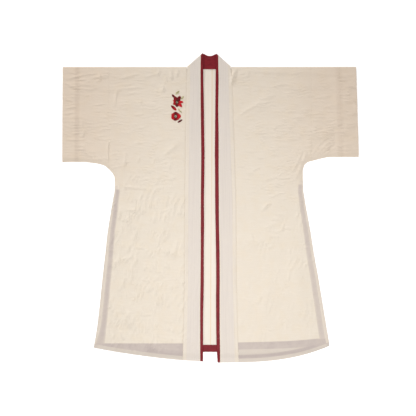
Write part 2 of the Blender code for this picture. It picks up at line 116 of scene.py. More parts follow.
def white_surface():
    """Matt white board with a faint grain, and a little light of its own."""
    material, tree = blank_material("matt white board")
    grain = add(tree, "ShaderNodeTexNoise", Scale=BOARD_GRAINS, Detail=3.0)
    bump = add(tree, "ShaderNodeBump", Height=grain.outputs["Fac"], Strength=0.05, Distance=0.2 * MM)
    shader = add(
        tree,
        "ShaderNodeBsdfPrincipled",
        Base_Color=colour("#fafafa"),
        Roughness=0.95,
        Emission_Color=colour("#ffffff"),
        Emission_Strength=0.25,
        Normal=bump.outputs["Normal"],
    )
    add(tree, "ShaderNodeOutputMaterial", Surface=shader.outputs["BSDF"])
    return material


half = FLOOR_SIZE / 2
corners = [(-half, -half, 0), (half, -half, 0), (half, half, 0), (-half, half, 0)]
floor_mesh = bpy.data.meshes.new("floor")
floor_mesh.from_pydata(corners, [], [(0, 1, 2, 3)])
floor_mesh.materials.append(white_surface())
floor = bpy.data.objects.new("floor", floor_mesh)
floor.location.z = -FLOOR_DROP
bpy.context.scene.collection.objects.link(floor)
print("floor:", FLOOR_SIZE, "m across")

# %% Soft lights, and the pale room round them
# Each lamp is a disk: where it stands, where it points, how wide it is and its watts.
Lamp = namedtuple("Lamp", "name place aim size power")
LAMPS = (
    Lamp("overhead", (0.04, -0.32, 1.38), (0.04, -0.32, 0.0), 1.0, 13.5),
    Lamp("far side", (-1.9, 3.4, 0.78), (0.0, 0.1, 0.0), 0.8, 94.0),
    Lamp("near side", (0.7, -2.5, 1.7), (0.0, -0.2, 0.0), 2.0, 15.5),
)


def light(lamp):
    """A disk of light that points from its place to its aim, and stays out of the picture."""
    data = bpy.data.lights.new(lamp.name, "AREA")
    data.shape = "DISK"
    data.size = lamp.size
    data.energy = lamp.power
    data.color = (1.0, 0.99, 0.98)
    obj = bpy.data.objects.new(lamp.name, data)
    obj.location = lamp.place
    away = np.subtract(lamp.place, lamp.aim)
    tilt = math.atan2(math.hypot(away[0], away[1]), away[2])
    obj.rotation_euler = (tilt, 0.0, math.atan2(away[0], -away[1]))
    obj.visible_camera = False
    bpy.context.scene.collection.objects.link(obj)


for lamp in LAMPS:
    light(lamp)

world = bpy.data.worlds.new("pale room")
world.use_nodes = True
background = world.node_tree.nodes["Background"]
background.inputs["Color"].default_value = colour("#f4f3f1")
background.inputs["Strength"].default_value = 0.5
bpy.context.scene.world = world
bpy.context.scene.view_settings.view_transform = "Standard"
print("lamps:", [lamp.name for lamp in LAMPS])

# %% [markdown]
# ## Cream crinkled gauze
#
# The body and sleeves are cotton gauze, a loose plain weave that is crinkled in finishing.
# To the eye it is matt and warm, with slubs (thick places in the yarn) that run across, and
# it is sheer enough for the burgundy facings under it to show as lilac. Real transparency
# could do that, but a viewer sorts thin see-through layers badly. So the cloth is opaque
# here, and each point carries measures, most of them distances in millimetres, such as how
# far it lies inside a facing. The material turns them into tints over the cream.


# %% Tints laid over a base colour
Tint = namedtuple("Tint", "hex_code value start end low high curve", defaults=("SMOOTHSTEP",))


def tinted(tree, base, tints):
    """The base moved towards each tint in turn: by low at its start, and by high at its end.

    A tint's value is a node's output, or the name of a measure that the points carry.
    """
    for tint in tints:
        value = tint.value
        if isinstance(value, str):
            value = add(tree, "ShaderNodeAttribute", {"attribute_name": value}).outputs["Fac"]
        amount = add(
            tree,
            "ShaderNodeMapRange",
            {"interpolation_type": tint.curve},
            Value=value,
            From_Min=tint.start,
            From_Max=tint.end,
            To_Min=tint.low,
            To_Max=tint.high,
        )
        mix = add(
            tree,
            "ShaderNodeMix",
            {"data_type": "RGBA", "clamp_factor": True},
            in_0=amount.outputs["Result"],
            in_6=base,
            in_7=colour(tint.hex_code),
        )
        base = mix.outputs[2]
    return base


# %% Where the gauze turns lilac
# A facing's cast starts 1.4 to 2 mm outside it. It is weaker where the gauze lifts off the
# satin, in patches about 30 mm wide.
BACK_FACING = 26.0
LIFT_SIZE = 29.4 * MM
FLAT = {"noise_dimensions": "2D"}


def lilac_cast(tree, cut):
    """How much a facing under the gauze shows: its own one, or the back's through the front."""
    own, back = (add(tree, "ShaderNodeAttribute", {"attribute_name": name}) for name in ("own", "back"))
    lift = add(tree, "ShaderNodeTexNoise", FLAT, Vector=cut, Scale=1 / LIFT_SIZE, Detail=3.0, Roughness=0.6)
    shares = []
    for node, start, end, low, high in (
        (own, -2.0, 2.0, 0.0, 1.0),
        (back, -1.4, 1.4, 0.0, 1.0),
        (back, BACK_FACING - 1.4, BACK_FACING + 1.4, 0.88, 0.0),
        (lift, 0.3, 0.66, 0.98, 0.84),
    ):
        share = add(
            tree,
            "ShaderNodeMapRange",
            {"interpolation_type": "SMOOTHSTEP"},
            Value=node.outputs["Fac"],
            From_Min=start,
            From_Max=end,
            To_Min=low,
            To_Max=high,
        )
        shares.append(share.outputs["Result"])
    over_own, above_hem, below_top, touching = shares
    times = {"operation": "MULTIPLY"}
    over_back = add(tree, "ShaderNodeMath", times, in_0=above_hem, in_1=below_top).outputs["Value"]
    over = add(tree, "ShaderNodeMath", {"operation": "MAXIMUM"}, in_0=over_own, in_1=over_back)
    return add(tree, "ShaderNodeMath", times, in_0=over.outputs["Value"], in_1=touching).outputs["Value"]


# %% The gauze itself
# Threads of gauze are about 0.5 mm apart. They are drawn 1.5 mm apart, three times as
# coarse, because finer ones would never reach a pixel.
THREAD_SPACING = 1.5 * MM
SLUB_LENGTH = 42 * MM
SLUB_WIDTH = 2.6 * MM
STREAK_WIDTH = 3.4 * MM
STREAK_LENGTH = 260 * MM
MOTTLE_SIZE = 38.5 * MM
# A wave texture at scale 1 repeats every 2 pi / 20 of a unit
WAVE_SCALE = 2 * math.pi / 20


def gauze(name, cream, slub_colour, cast_colour, roughness, streaks):
    """Crinkled cotton gauze, loosely woven: warm and matt, and veiled over burgundy."""
    material, tree = blank_material(name)
    cut = add(tree, "ShaderNodeUVMap", {"uv_map": "cut"}).outputs["UV"]
    stretched = []
    for scale, noise in (
        ((1 / SLUB_LENGTH, 1 / SLUB_WIDTH, 1.0), {"Detail": 3.0, "Roughness": 0.6}),
        ((1 / STREAK_WIDTH, 1 / STREAK_LENGTH, 1.0), {"Detail": 2.0}),
    ):
        place = add(tree, "ShaderNodeMapping", Vector=cut, Scale=scale).outputs["Vector"]
        texture = add(tree, "ShaderNodeTexNoise", FLAT, Vector=place, Scale=1.0, **noise)
        stretched.append(texture.outputs["Fac"])
    slubs, streak = stretched
    mottle = add(
        tree, "ShaderNodeTexNoise", FLAT, Vector=cut, Scale=1 / MOTTLE_SIZE, Detail=4.0, Roughness=0.6
    )
    # In turn: slubs, mottling, the bare back, painted shade that deepens the cream towards the
    # cuffs and the top, the front past the back's hem, the lilac cast, the band's streaks,
    # seams (their thread and doubled cloth, with painted shade in the groove), the allowance
    # inside a cuff, the centre back seam, and along the open slits a faint darkening, from the
    # turned hem with painted shade.
    body = tinted(
        tree,
        colour(cream),
        (
            Tint(slub_colour, slubs, 0.42, 0.74, 0.0, 0.35),
            Tint("#d9c6a6", mottle.outputs["Fac"], 0.40, 0.78, 0.0, 0.14),
            Tint("#e6e0d6", "bare", -1.2, 1.2, 0.0, 0.5),
            # Painted shade: the cream deeper and browner towards the cuffs and the top
            Tint("#cdac91", "deep", 0.0, 1.0, 0.0, 0.3, "LINEAR"),
            Tint("#beb4ad", "back", -1.2, 1.2, 0.58, 0.0),
            Tint(cast_colour, lilac_cast(tree, cut), 0.0, 1.0, 0.0, 1.0, "LINEAR"),
            Tint("#a79d97", streak, 0.42, 0.66, 0.0, streaks),
            # Seams darker: their thread and doubled cloth, with painted shade in the groove
            Tint("#b7a48a", "seam", 0.3, 3.2, 0.16, 0.0),
            Tint("#b19c8c", "allowance", 0.0, 1.0, 0.0, 0.2, "LINEAR"),
            Tint("#d8bd98", "centre", 0.8, 3.2, 0.5, 0.0),
            # Darker along the open slits: the turned hem's doubled cloth, with painted shade at the edge
            Tint(cast_colour, "edge", 6.0, 17.0, 0.26, 0.0),
        ),
    )

    turn = add(tree, "ShaderNodeMapping", Vector=cut, Rotation=(0.0, 0.0, math.pi / 2))
    weave = []
    for direction in (cut, turn.outputs["Vector"]):
        threads = add(
            tree,
            "ShaderNodeTexWave",
            {"wave_type": "BANDS", "bands_direction": "X", "wave_profile": "SIN"},
            Vector=direction,
            Scale=WAVE_SCALE / THREAD_SPACING,
            Distortion=1.2,
            Detail=1.0,
            Detail_Scale=0.6,
        )
        weave.append(threads.outputs["Fac"])
    crossed = add(tree, "ShaderNodeMath", {"operation": "ADD"}, in_0=weave[0], in_1=weave[1])
    normal = add(
        tree, "ShaderNodeBump", Height=crossed.outputs["Value"], Strength=0.25, Distance=0.12 * MM
    ).outputs["Normal"]
    relief = add(tree, "ShaderNodeBump", Height=slubs, Strength=0.4, Distance=0.6 * MM, Normal=normal)
    shader = add(
        tree,
        "ShaderNodeBsdfPrincipled",
        Base_Color=body,
        Roughness=roughness,
        IOR=1.47,
        Specular_IOR_Level=0.25,
        Sheen_Weight=0.12,
        Sheen_Roughness=0.5,
        Sheen_Tint=colour("#fff4e2"),
        Normal=relief.outputs["Normal"],
    )
    add(tree, "ShaderNodeOutputMaterial", Surface=shader.outputs["BSDF"])
    return material


cream_gauze = gauze("crinkled cotton gauze", "#d8cec0", "#dfd6ca", "#b4a8a4", 0.9, 0.0)
band_gauze = gauze("band of cotton gauze", "#d8cec1", "#ded6cb", "#d3cac2", 0.85, 0.10)
print("gauze:", cream_gauze.name, "and", band_gauze.name)

# %% [markdown]
# ## Burgundy satin
#
# The lining, facings and binding are cotton satin: floats of warp thread lie side by side,
# which gives a smooth face with a soft broad shine along one direction. The colour is a
# deep wine red with slightly lighter floats. An anisotropic shader could carry the shine,
# but on strips this narrow a lower roughness with a little sheen looks the same.


# %% The satin
# Real satin has several floats a millimetre. They are drawn at 0.9 a millimetre, in
# lengths of about 17 mm, as coarse as they need to show.
FLOATS_ACROSS = 0.9 / MM
FLOATS_ALONG = 0.06 / MM
WEAR_SIZE = 18.2 * MM


def satin(name, deep, light_floats):
    """Cotton satin: fine floats along the strip, darker between them, with a soft shine."""
    material, tree = blank_material(name)
    cut = add(tree, "ShaderNodeUVMap", {"uv_map": "cut"}).outputs["UV"]
    place = add(tree, "ShaderNodeMapping", Vector=cut, Scale=(FLOATS_ACROSS, FLOATS_ALONG, 1.0))
    floats = add(tree, "ShaderNodeTexNoise", FLAT, Vector=place.outputs["Vector"], Scale=1.0, Detail=3.0)
    wear = add(tree, "ShaderNodeTexNoise", FLAT, Vector=cut, Scale=1 / WEAR_SIZE, Detail=4.0)
    body = tinted(
        tree,
        colour(deep),
        (
            Tint(light_floats, floats.outputs["Fac"], 0.35, 0.7, 0.0, 0.6),
            Tint("#4e0f18", wear.outputs["Fac"], 0.45, 0.75, 0.0, 0.35),
        ),
    )
    bump = add(tree, "ShaderNodeBump", Height=floats.outputs["Fac"], Strength=0.3, Distance=0.2 * MM)
    shader = add(
        tree,
        "ShaderNodeBsdfPrincipled",
        Base_Color=body,
        Roughness=0.5,
        IOR=1.5,
        Specular_IOR_Level=0.15,
        Sheen_Weight=0.04,
        Sheen_Roughness=0.4,
        Sheen_Tint=colour("#e8a3a0"),
        Normal=bump.outputs["Normal"],
    )
    add(tree, "ShaderNodeOutputMaterial", Surface=shader.outputs["BSDF"])
    return material


burgundy_satin = satin("burgundy cotton satin", "#70151e", "#87232c")
print("satin:", burgundy_satin.name)

# %% [markdown]
# ## The cut of the jacket
#
# The next cells give the jacket's sizes in millimetres. They could be read from the CAD
# solids, but a seam or a slit is easier to follow as a few named numbers. They are the CAD
# model's sizes, refined by up to 4 mm along the outline and by 10 mm where the left slit's
# facing ends. X runs across from the middle, Y up towards the collar. Each side has its
# own, because a garment never lies quite evenly: its left underarm sits lower.

# %% Heights of the layers
# The middle of each wall of cloth over the surface: the back, the front beside the top
# fold, the back's hem and the cuffs, the front elsewhere, where it is sewn to the back, at
# its own hem, and where both layers close on each other.
BACK_MID = 0.6
HIGH_MID = 4.7
LOW_MID = 3.4
SEAM_MID = 2.1
HEM_MID = 1.9
CLOSED_MID = 1.15

# %% The top fold and the seams
# The cloth folds over the shoulder in half a turn, so its radius is half the layers' gap.
FOLD_RADIUS = (HIGH_MID - BACK_MID) / 2
FOLD_MID = (HIGH_MID + BACK_MID) / 2
SHOULDER_Y = 507.2
FOLD_Y = SHOULDER_Y - FOLD_RADIUS - 0.6
SLEEVE_SEAM = 364.0
BACK_NECK_Y = 501.1
SEAM_GAP = 0.16
CUFF_DEPTH = 59.0
print("top fold:", round(2 * FOLD_RADIUS, 2), "mm high")

# %% The two sides
# A hem rises from its height at the centre by a power of the share of the way out. A slit's
# rows run down its length, with the width of the strip outside the facing, and of the
# facing. Edges give the side from the hem to the armpit, and Unders the sleeve's underarm.
# A hem's facing lies between two heights over the hem. The band turns over along a line
# from turn, on its seam, to peak, on its free edge. The seam allowance inside a cuff shows
# between two distances from the stitched line, with a strength.
Hem = namedtuple("Hem", "centre rise power")
Point = namedtuple("Point", "x y")
Slit = namedtuple("Slit", "down strip width")
Edge = namedtuple("Edge", "height out")
Under = namedtuple("Under", "out height")
Side = namedtuple(
    "Side",
    "name sign corner front_hem back_hem hem_facing slit_top slit cuff_top cuff_end neck turn "
    "allowance peak side_edge underarm",
)
LEFT = Side(
    name="left",
    sign=-1,
    corner=418.0,
    front_hem=Hem(centre=-553.0, rise=50.4, power=1.6),
    back_hem=Hem(centre=-518.8, rise=18.8, power=2.0),
    hem_facing=(37.5, 15.0),
    slit_top=82.0,
    slit=(
        Slit(0.0, 4.0, 12.0),
        Slit(0.2, 8.5, 15.5),
        Slit(0.6, 12.5, 17.5),
        Slit(0.85, 12.5, 19.5),
        Slit(1.0, 4.0, 32.0),
    ),
    cuff_top=528.4,
    cuff_end=530.6,
    neck=82.8,
    turn=Point(81.0, 506.5),
    allowance=(1.5, 15.5, 1.0),
    peak=Point(25.2, 554.5),
    side_edge=(
        Edge(-503.0, 417.8),
        Edge(-440.0, 407.1),
        Edge(-353.0, 396.6),
        Edge(-260.0, 387.2),
        Edge(-166.0, 376.4),
        Edge(-94.0, 368.8),
        Edge(-22.0, 357.3),
        Edge(28.0, 349.0),
        Edge(66.0, 342.8),
        Edge(108.0, 343.7),
        Edge(122.0, 349.0),
        Edge(139.6, SLEEVE_SEAM),
    ),
    underarm=(
        Under(SLEEVE_SEAM, 139.6),
        Under(378.0, 150.8),
        Under(400.0, 158.5),
        Under(425.0, 162.0),
        Under(450.0, 165.2),
        Under(511.0, 165.2),
        Under(536.0, 163.4),
    ),
)
RIGHT = Side(
    name="right",
    sign=1,
    corner=429.6,
    front_hem=Hem(centre=-556.6, rise=61.2, power=3.2),
    back_hem=Hem(centre=-518.8, rise=26.4, power=2.0),
    hem_facing=(27.0, 13.5),
    slit_top=100.0,
    slit=(
        Slit(0.0, 4.0, 12.0),
        Slit(0.2, 7.5, 14.5),
        Slit(0.6, 10.5, 17.5),
        Slit(1.0, 12.5, 19.0),
    ),
    cuff_top=524.6,
    cuff_end=534.4,
    neck=75.6,
    turn=Point(73.8, 506.5),
    allowance=(-15.0, 8.0, 0.55),
    peak=Point(21.6, 553.0),
    side_edge=(
        Edge(-496.0, 429.6),
        Edge(-396.0, 413.3),
        Edge(-324.0, 401.4),
        Edge(-238.0, 387.1),
        Edge(-166.0, 373.7),
        Edge(-94.0, 362.6),
        Edge(-36.0, 351.9),
        Edge(36.0, 339.2),
        Edge(66.0, 334.9),
        Edge(129.0, 334.2),
        Edge(151.0, 338.5),
        Edge(165.0, 353.0),
        Edge(168.0, SLEEVE_SEAM),
    ),
    underarm=(
        Under(SLEEVE_SEAM, 168.0),
        Under(396.0, 176.5),
        Under(432.0, 183.0),
        Under(482.0, 183.2),
        Under(536.0, 183.2),
    ),
)
SIDES = (LEFT, RIGHT)
print("hem corners:", {side.name: side.corner for side in SIDES}, "mm from the middle")

# %% The band's two long edges, by height
# The free edges and the binding's widths are those in the photo, which lie up to 4 mm
# from the solids' straighter ones.
Band = namedtuple(
    "Band", "height left_seam left_free left_binding right_seam right_free right_binding"
)
BAND = [
    Band(*row)
    for row in (
        (-557.0, 98.0, 25.1, 9.8, 103.0, 27.2, 9.2),
        (-494.0, 97.0, 24.9, 10.4, 101.0, 23.6, 12.4),
        (-410.0, 95.4, 24.9, 10.5, 99.0, 22.2, 12.6),
        (-324.0, 93.7, 23.3, 11.8, 96.9, 21.7, 12.9),
        (-260.0, 92.5, 22.3, 11.9, 95.4, 22.4, 12.7),
        (-151.0, 92.0, 22.3, 10.9, 94.7, 21.3, 13.1),
        (-65.0, 91.6, 21.3, 11.9, 94.2, 20.0, 12.6),
        (28.0, 91.1, 21.7, 11.3, 93.6, 18.6, 13.2),
        (108.0, 90.1, 20.6, 11.7, 91.1, 18.4, 13.0),
        (194.0, 89.0, 19.7, 12.0, 88.4, 17.6, 13.6),
        (280.0, 88.0, 20.9, 11.6, 85.7, 18.3, 12.6),
        (367.0, 86.3, 22.1, 11.4, 82.7, 19.2, 10.7),
        (460.0, 84.2, 24.2, 10.1, 79.2, 20.1, 11.0),
        (507.2, 82.8, 25.4, 10.4, 75.6, 20.8, 10.4),
    )
]
print("rows of the band's edges:", len(BAND))


# %% Curves and distances, for whole arrays of points at once
def between(start, end, share):
    """The value at this share of the way from start to end."""
    return start + (end - start) * share


def ease(start, end, at):
    """0 before start, 1 after end, and a smooth step between them."""
    share = np.clip((at - start) / (end - start), 0.0, 1.0)
    return share * share * (3.0 - 2.0 * share)


def curve(table, at):
    """The smooth curve through a table of (place, value) pairs that never overshoots them."""
    places, values = (np.array(column, float) for column in zip(*table))
    steps = np.diff(places)
    climbs = np.diff(values) / steps
    before, after = climbs[:-1], climbs[1:]
    turning = before * after <= 0.0
    inner = np.where(turning, 0.0, 2.0 * before * after / np.where(turning, 1.0, before + after))
    slopes = np.concatenate([climbs[:1], inner, climbs[-1:]])
    at = np.clip(at, places[0], places[-1])
    i = np.clip(np.searchsorted(places, at, side="right") - 1, 0, len(steps) - 1)
    t = (at - places[i]) / steps[i]
    return (
        values[i] * (1 + 2 * t) * (1 - t) ** 2
        + values[i + 1] * t * t * (3 - 2 * t)
        + slopes[i] * steps[i] * t * (1 - t) ** 2
        - slopes[i + 1] * steps[i] * t * t * (1 - t)
    )


def hem_y(side, hem, x):
    """The hem's height at this distance from the middle."""
    return hem.centre + hem.rise * (np.abs(x) / side.corner) ** hem.power


def side_x(side, y):
    """How far the body reaches from the middle at this height."""
    return np.where(y >= side.side_edge[-1].height, SLEEVE_SEAM, curve(side.side_edge, y))


def underarm_y(side, x):
    """The height of the sleeve's lower edge."""
    return curve(side.underarm, x)


def band_x(side, y, edge):
    """The band's "seam" or "free" edge's distance from the middle, or its "binding" width."""
    return curve([(row.height, getattr(row, f"{side.name}_{edge}")) for row in BAND], y)


def cuff_x(side, y):
    """How far the sleeve's end lies from the middle, on a straight line."""
    low = side.underarm[-1].height
    return between(side.cuff_end, side.cuff_top, (y - low) / (SHOULDER_Y - low))


def line_distance(line, x, y):
    """How far each point lies from a line of corners."""
    nearest = np.full(np.shape(x), np.inf)
    for a, b in zip(line, line[1:]):
        dx, dy = b[0] - a[0], b[1] - a[1]
        share = np.clip(((x - a[0]) * dx + (y - a[1]) * dy) / (dx * dx + dy * dy), 0.0, 1.0)
        nearest = np.minimum(nearest, np.hypot(x - a[0] - share * dx, y - a[1] - share * dy))
    return nearest


def sewn_line(side):
    """Points along the seam that closes the sleeve and the top of the side."""
    out = np.arange(540.0, SLEEVE_SEAM, -8.0)
    down = np.linspace(side.side_edge[-1].height, side.slit_top, 16)
    sleeve = list(zip(out, underarm_y(side, out)))
    return sleeve + list(zip(side_x(side, down - 0.001), down))


SEWN = {side.name: sewn_line(side) for side in SIDES}
print("sewn seam points:", {name: len(line) for name, line in SEWN.items()})

# %% [markdown]
# ## How the gauze lies
#
# Three sizes of fold make the cloth. The largest are soft ridges, shared with the CAD
# model. On them lie creases placed one by one: the fan at each armpit, a few long ones over
# the chest, and short upright ones low on the fronts. The finest is the crinkle of the
# gauze itself, short wavy pleats 10 to 16 mm apart across the cloth, and wider upright ones
# low on the left front, made from smooth noise that is stretched along them. A cloth
# simulation would lose that pattern, so all three are added to each point's height.

# %% The largest folds, as in the CAD model
# Each has its middle, its half length and half width, its turn in degrees, its height in the
# solids, and the share of that height that it keeps here.
Ridge = namedtuple("Ridge", "x y length width angle height share", defaults=(0.5,))
RIDGES = (
    Ridge(333, 172, 62, 13, 68, 4.0, 0.15),
    Ridge(394, 246, 66, 13, 38, 4.2, 0.15),
    Ridge(386, 208, 64, 12, 33, 3.6, 0.15),
    Ridge(310, 206, 58, 15, 76, 2.6, 0.15),
    Ridge(328, 440, 104, 17, -2, 3.0),
    Ridge(170, 366, 66, 18, 32, 3.0),
    Ridge(236, 296, 88, 22, 8, 2.2),
    Ridge(470, 372, 62, 20, -6, 2.4),
    Ridge(238, -44, 56, 17, 43, 3.0, 0.3),
    Ridge(160, -122, 62, 18, 4, 2.4),
    Ridge(322, 26, 50, 14, 72, 3.0, 0.3),
    Ridge(318, -286, 112, 24, 98, 2.8),
    Ridge(196, -352, 110, 26, 82, 2.4),
    Ridge(-140, 212, 40, 14, 46, 2.8),
    Ridge(-426, 202, 50, 15, -28, 3.2),
    Ridge(-352, 206, 52, 14, 94, 3.0),
    Ridge(-370, 432, 92, 19, -9, 2.8),
    Ridge(-236, 372, 92, 24, -4, 2.2),
    Ridge(-462, 318, 64, 19, 5, 2.4),
    Ridge(-281, -224, 62, 14, 93, 3.4),
    Ridge(-288, -392, 48, 15, 104, 3.2),
    Ridge(-166, -72, 46, 15, 78, 2.8),
    Ridge(-298, -8, 60, 17, 12, 2.6),
    Ridge(-186, -318, 118, 24, 99, 2.4),
)
print("ridges:", len(RIDGES))


def ridges(side, x, y):
    """The ridges at their share of the height in the solids: creases make up the rest."""
    total = np.zeros(np.shape(x))
    for ridge in RIDGES:
        turn = math.radians(ridge.angle)
        dx, dy = side.sign * x - ridge.x, y - ridge.y
        along = (dx * math.cos(turn) + dy * math.sin(turn)) / ridge.length
        across = (dy * math.cos(turn) - dx * math.sin(turn)) / ridge.width
        total += ridge.share * ridge.height * np.exp(-along * along - across * across)
    return total


# %% Creases on the right
# Each runs from its lower or left end through its middle to its other end, in millimetres,
# with the half width of its crest and its height. A trough of a third of that runs along
# its lower or right side, away from the lamp.
Crease = namedtuple("Crease", "start middle end width height")
RIGHT_ARMPIT = (
    ((290, 122), (315, 166), (334, 212), 4.6, 1.3),
    ((306, 104), (331, 156), (343, 206), 4.2, 1.0),
    ((350, 176), (358, 194), (364, 216), 3.4, 0.6),
    ((366, 187), (399, 234), (442, 268), 4.0, 0.8),
    ((379, 184), (408, 217), (446, 254), 3.6, 1.0),
    ((390, 184), (416, 210), (448, 238), 3.4, 1.0),
    ((402, 184), (430, 204), (456, 220), 3.2, 0.8),
    ((338, 162), (344, 184), (351, 204), 3.2, 0.9),
    ((316, 132), (326, 138), (334, 141), 3.0, 0.7),
)
RIGHT_FRONT = (
    ((188, 96), (232, 109), (278, 112), 4.6, 1.0),
    ((208, 34), (237, 47), (268, 55), 4.4, 1.2),
    ((190, 0), (208, 12), (225, 16), 4.0, 1.2),
    ((127, 123), (142, 124), (157, 123), 4.0, 1.1),
    ((217, -42), (232, -42), (247, -42), 4.0, 0.9),
    ((235, -24), (249, -24), (261, -24), 3.8, 0.9),
    ((192, -72), (210, -68), (229, -60), 4.0, 0.7),
    ((153, 134), (167, 141), (182, 146), 4.0, 0.9),
    ((186, -13), (198, 3), (211, 19), 4.2, 1.4),
    ((254, -84), (262, -70), (262, -56), 4.0, 1.4),
    ((154, -123), (150, -106), (150, -88), 4.2, 0.9),
    ((125, -2), (125, 12), (125, 26), 4.0, 1.0),
    ((287, -166), (287, -157), (287, -146), 4.0, 1.0),
    ((312, -33), (314, -26), (316, -16), 3.6, 1.3),
    ((236, -87), (265, -75), (294, -78), 4.2, 1.0),
    ((210, -100), (232, -103), (251, -104), 4.2, 0.8),
    ((110, -330), (128, -330), (146, -338), 4.6, 0.7),
    ((197, -143), (211, -143), (225, -140), 4.2, 0.8),
    ((143, -285), (143, -275), (144, -262), 4.4, 0.8),
)
RIGHT_CHEST = (
    ((75, 440), (83, 474), (98, 508), 5.6, 4.6),
    ((133, 466), (136, 478), (140, 500), 4.0, 1.3),
    ((161, 482), (163, 492), (164, 504), 4.0, 1.1),
    ((116, 490), (230, 490), (352, 486), 8.0, 1.3),
    ((340, 486), (400, 484), (478, 478), 7.0, 1.0),
    ((222, 436), (254, 444), (284, 444), 4.4, 1.1),
    ((180, 396), (210, 400), (238, 404), 4.2, 1.1),
    ((98, 328), (140, 357), (184, 379), 5.0, 1.3),
    ((148, 422), (164, 422), (180, 422), 4.0, 1.0),
    ((278, 328), (311, 325), (342, 328), 4.2, 0.9),
    ((278, 246), (297, 249), (315, 249), 4.2, 0.8),
    ((279, 346), (297, 346), (315, 346), 4.0, 0.8),
    ((318, 296), (333, 293), (348, 292), 4.0, 1.0),
    ((221, 346), (243, 346), (261, 346), 4.0, 0.7),
    ((253, 274), (268, 274), (282, 274), 4.0, 0.7),
    ((167, 183), (182, 181), (197, 181), 4.0, 0.7),
    ((150, 262), (206, 256), (258, 262), 4.4, 0.5),
)
RIGHT_SLEEVE = (
    ((343, 408), (362, 404), (377, 404), 4.0, 1.0),
    ((379, 400), (401, 400), (420, 397), 4.0, 1.3),
    ((412, 364), (427, 364), (438, 361), 4.0, 0.8),
    ((451, 346), (470, 343), (488, 339), 4.0, 1.2),
    ((455, 296), (470, 303), (481, 303), 3.8, 1.4),
    ((379, 289), (392, 289), (405, 289), 4.0, 0.8),
    ((480, 446), (504, 438), (526, 436), 4.0, 1.6),
    ((476, 386), (499, 382), (522, 386), 4.0, 1.4),
    ((492, 339), (507, 339), (524, 339), 3.8, 1.5),
    ((476, 296), (499, 292), (522, 296), 4.0, 1.3),
    ((479, 278), (497, 278), (514, 278), 3.6, 0.8),
    ((476, 260), (499, 264), (522, 256), 4.0, 1.2),
)

# %% Creases on the left
LEFT_CHEST = (
    ((-330, 464), (-290, 473), (-250, 486), 5.0, 1.1),
    ((-233, 468), (-203, 480), (-176, 484), 4.6, 1.1),
    ((-294, 429), (-265, 433), (-235, 433), 4.4, 1.0),
    ((-247, 375), (-221, 372), (-196, 372), 4.2, 0.9),
    ((-182, 422), (-167, 426), (-153, 426), 4.0, 1.2),
    ((-272, 336), (-254, 336), (-235, 339), 4.0, 1.1),
    ((-276, 235), (-254, 235), (-235, 235), 4.2, 0.9),
    ((-300, 407), (-283, 411), (-264, 415), 4.0, 0.9),
    ((-156, 476), (-139, 470), (-124, 472), 4.0, 0.8),
    ((-261, 292), (-243, 289), (-228, 292), 4.2, 0.7),
    ((-218, 451), (-203, 447), (-189, 447), 4.0, 0.7),
    ((-343, 362), (-340, 394), (-332, 426), 4.4, 1.8),
    ((-250, 370), (-250, 380), (-250, 390), 4.0, 1.1),
    ((-188, 474), (-185, 488), (-181, 504), 4.2, 1.9),
    ((-143, 457), (-139, 480), (-143, 506), 4.4, 2.8),
    ((-117, 470), (-117, 487), (-110, 505), 4.0, 2.2),
    ((-174, 417), (-168, 427), (-171, 440), 3.8, 1.8),
    ((-163, 446), (-160, 459), (-156, 475), 4.0, 1.2),
    ((-164, 186), (-142, 210), (-116, 228), 4.6, 1.3),
    ((-172, 158), (-150, 172), (-122, 190), 4.2, 0.7),
    ((-148, 134), (-145, 149), (-145, 170), 4.0, 1.8),
    ((-263, 161), (-257, 172), (-253, 184), 4.0, 1.4),
    ((-314, 135), (-307, 167), (-304, 200), 4.6, 1.9),
    ((-192, 86), (-192, 99), (-192, 111), 4.2, 1.1),
    ((-203, 160), (-203, 167), (-203, 177), 4.0, 1.2),
    ((-307, 64), (-307, 73), (-307, 86), 4.0, 1.2),
    ((-142, 93), (-142, 102), (-142, 113), 4.0, 1.1),
)
LEFT_SLEEVE = (
    ((-432, 462), (-398, 472), (-362, 472), 4.8, 1.2),
    ((-445, 480), (-423, 484), (-400, 484), 4.4, 0.8),
    ((-522, 464), (-488, 469), (-458, 477), 4.4, 1.4),
    ((-522, 452), (-496, 437), (-474, 433), 4.2, 1.2),
    ((-520, 357), (-499, 361), (-478, 364), 4.2, 1.2),
    ((-516, 246), (-497, 246), (-478, 249), 4.2, 1.0),
    ((-520, 390), (-507, 387), (-494, 386), 4.0, 1.2),
    ((-520, 339), (-507, 339), (-494, 343), 4.0, 1.2),
    ((-499, 267), (-486, 267), (-474, 271), 3.8, 0.9),
    ((-499, 300), (-486, 300), (-474, 300), 3.8, 0.8),
    ((-445, 422), (-423, 426), (-401, 433), 4.2, 0.7),
    ((-431, 249), (-411, 253), (-390, 253), 4.2, 0.7),
    ((-477, 462), (-461, 462), (-444, 462), 4.0, 0.6),
    ((-420, 372), (-402, 372), (-384, 372), 4.0, 0.6),
    ((-452, 444), (-437, 447), (-426, 447), 4.0, 0.6),
    ((-456, 400), (-443, 404), (-430, 408), 4.0, 0.6),
    ((-409, 354), (-396, 354), (-384, 354), 4.0, 0.5),
    ((-397, 455), (-397, 470), (-397, 484), 4.0, 2.0),
    ((-455, 257), (-455, 268), (-451, 282), 3.8, 1.9),
    ((-455, 287), (-458, 300), (-458, 313), 3.8, 1.5),
    ((-437, 189), (-451, 210), (-451, 230), 3.8, 1.4),
    ((-415, 162), (-419, 174), (-423, 188), 3.6, 1.8),
    ((-394, 170), (-398, 178), (-402, 188), 3.6, 1.4),
    ((-365, 166), (-368, 205), (-361, 242), 3.8, 2.1),
)
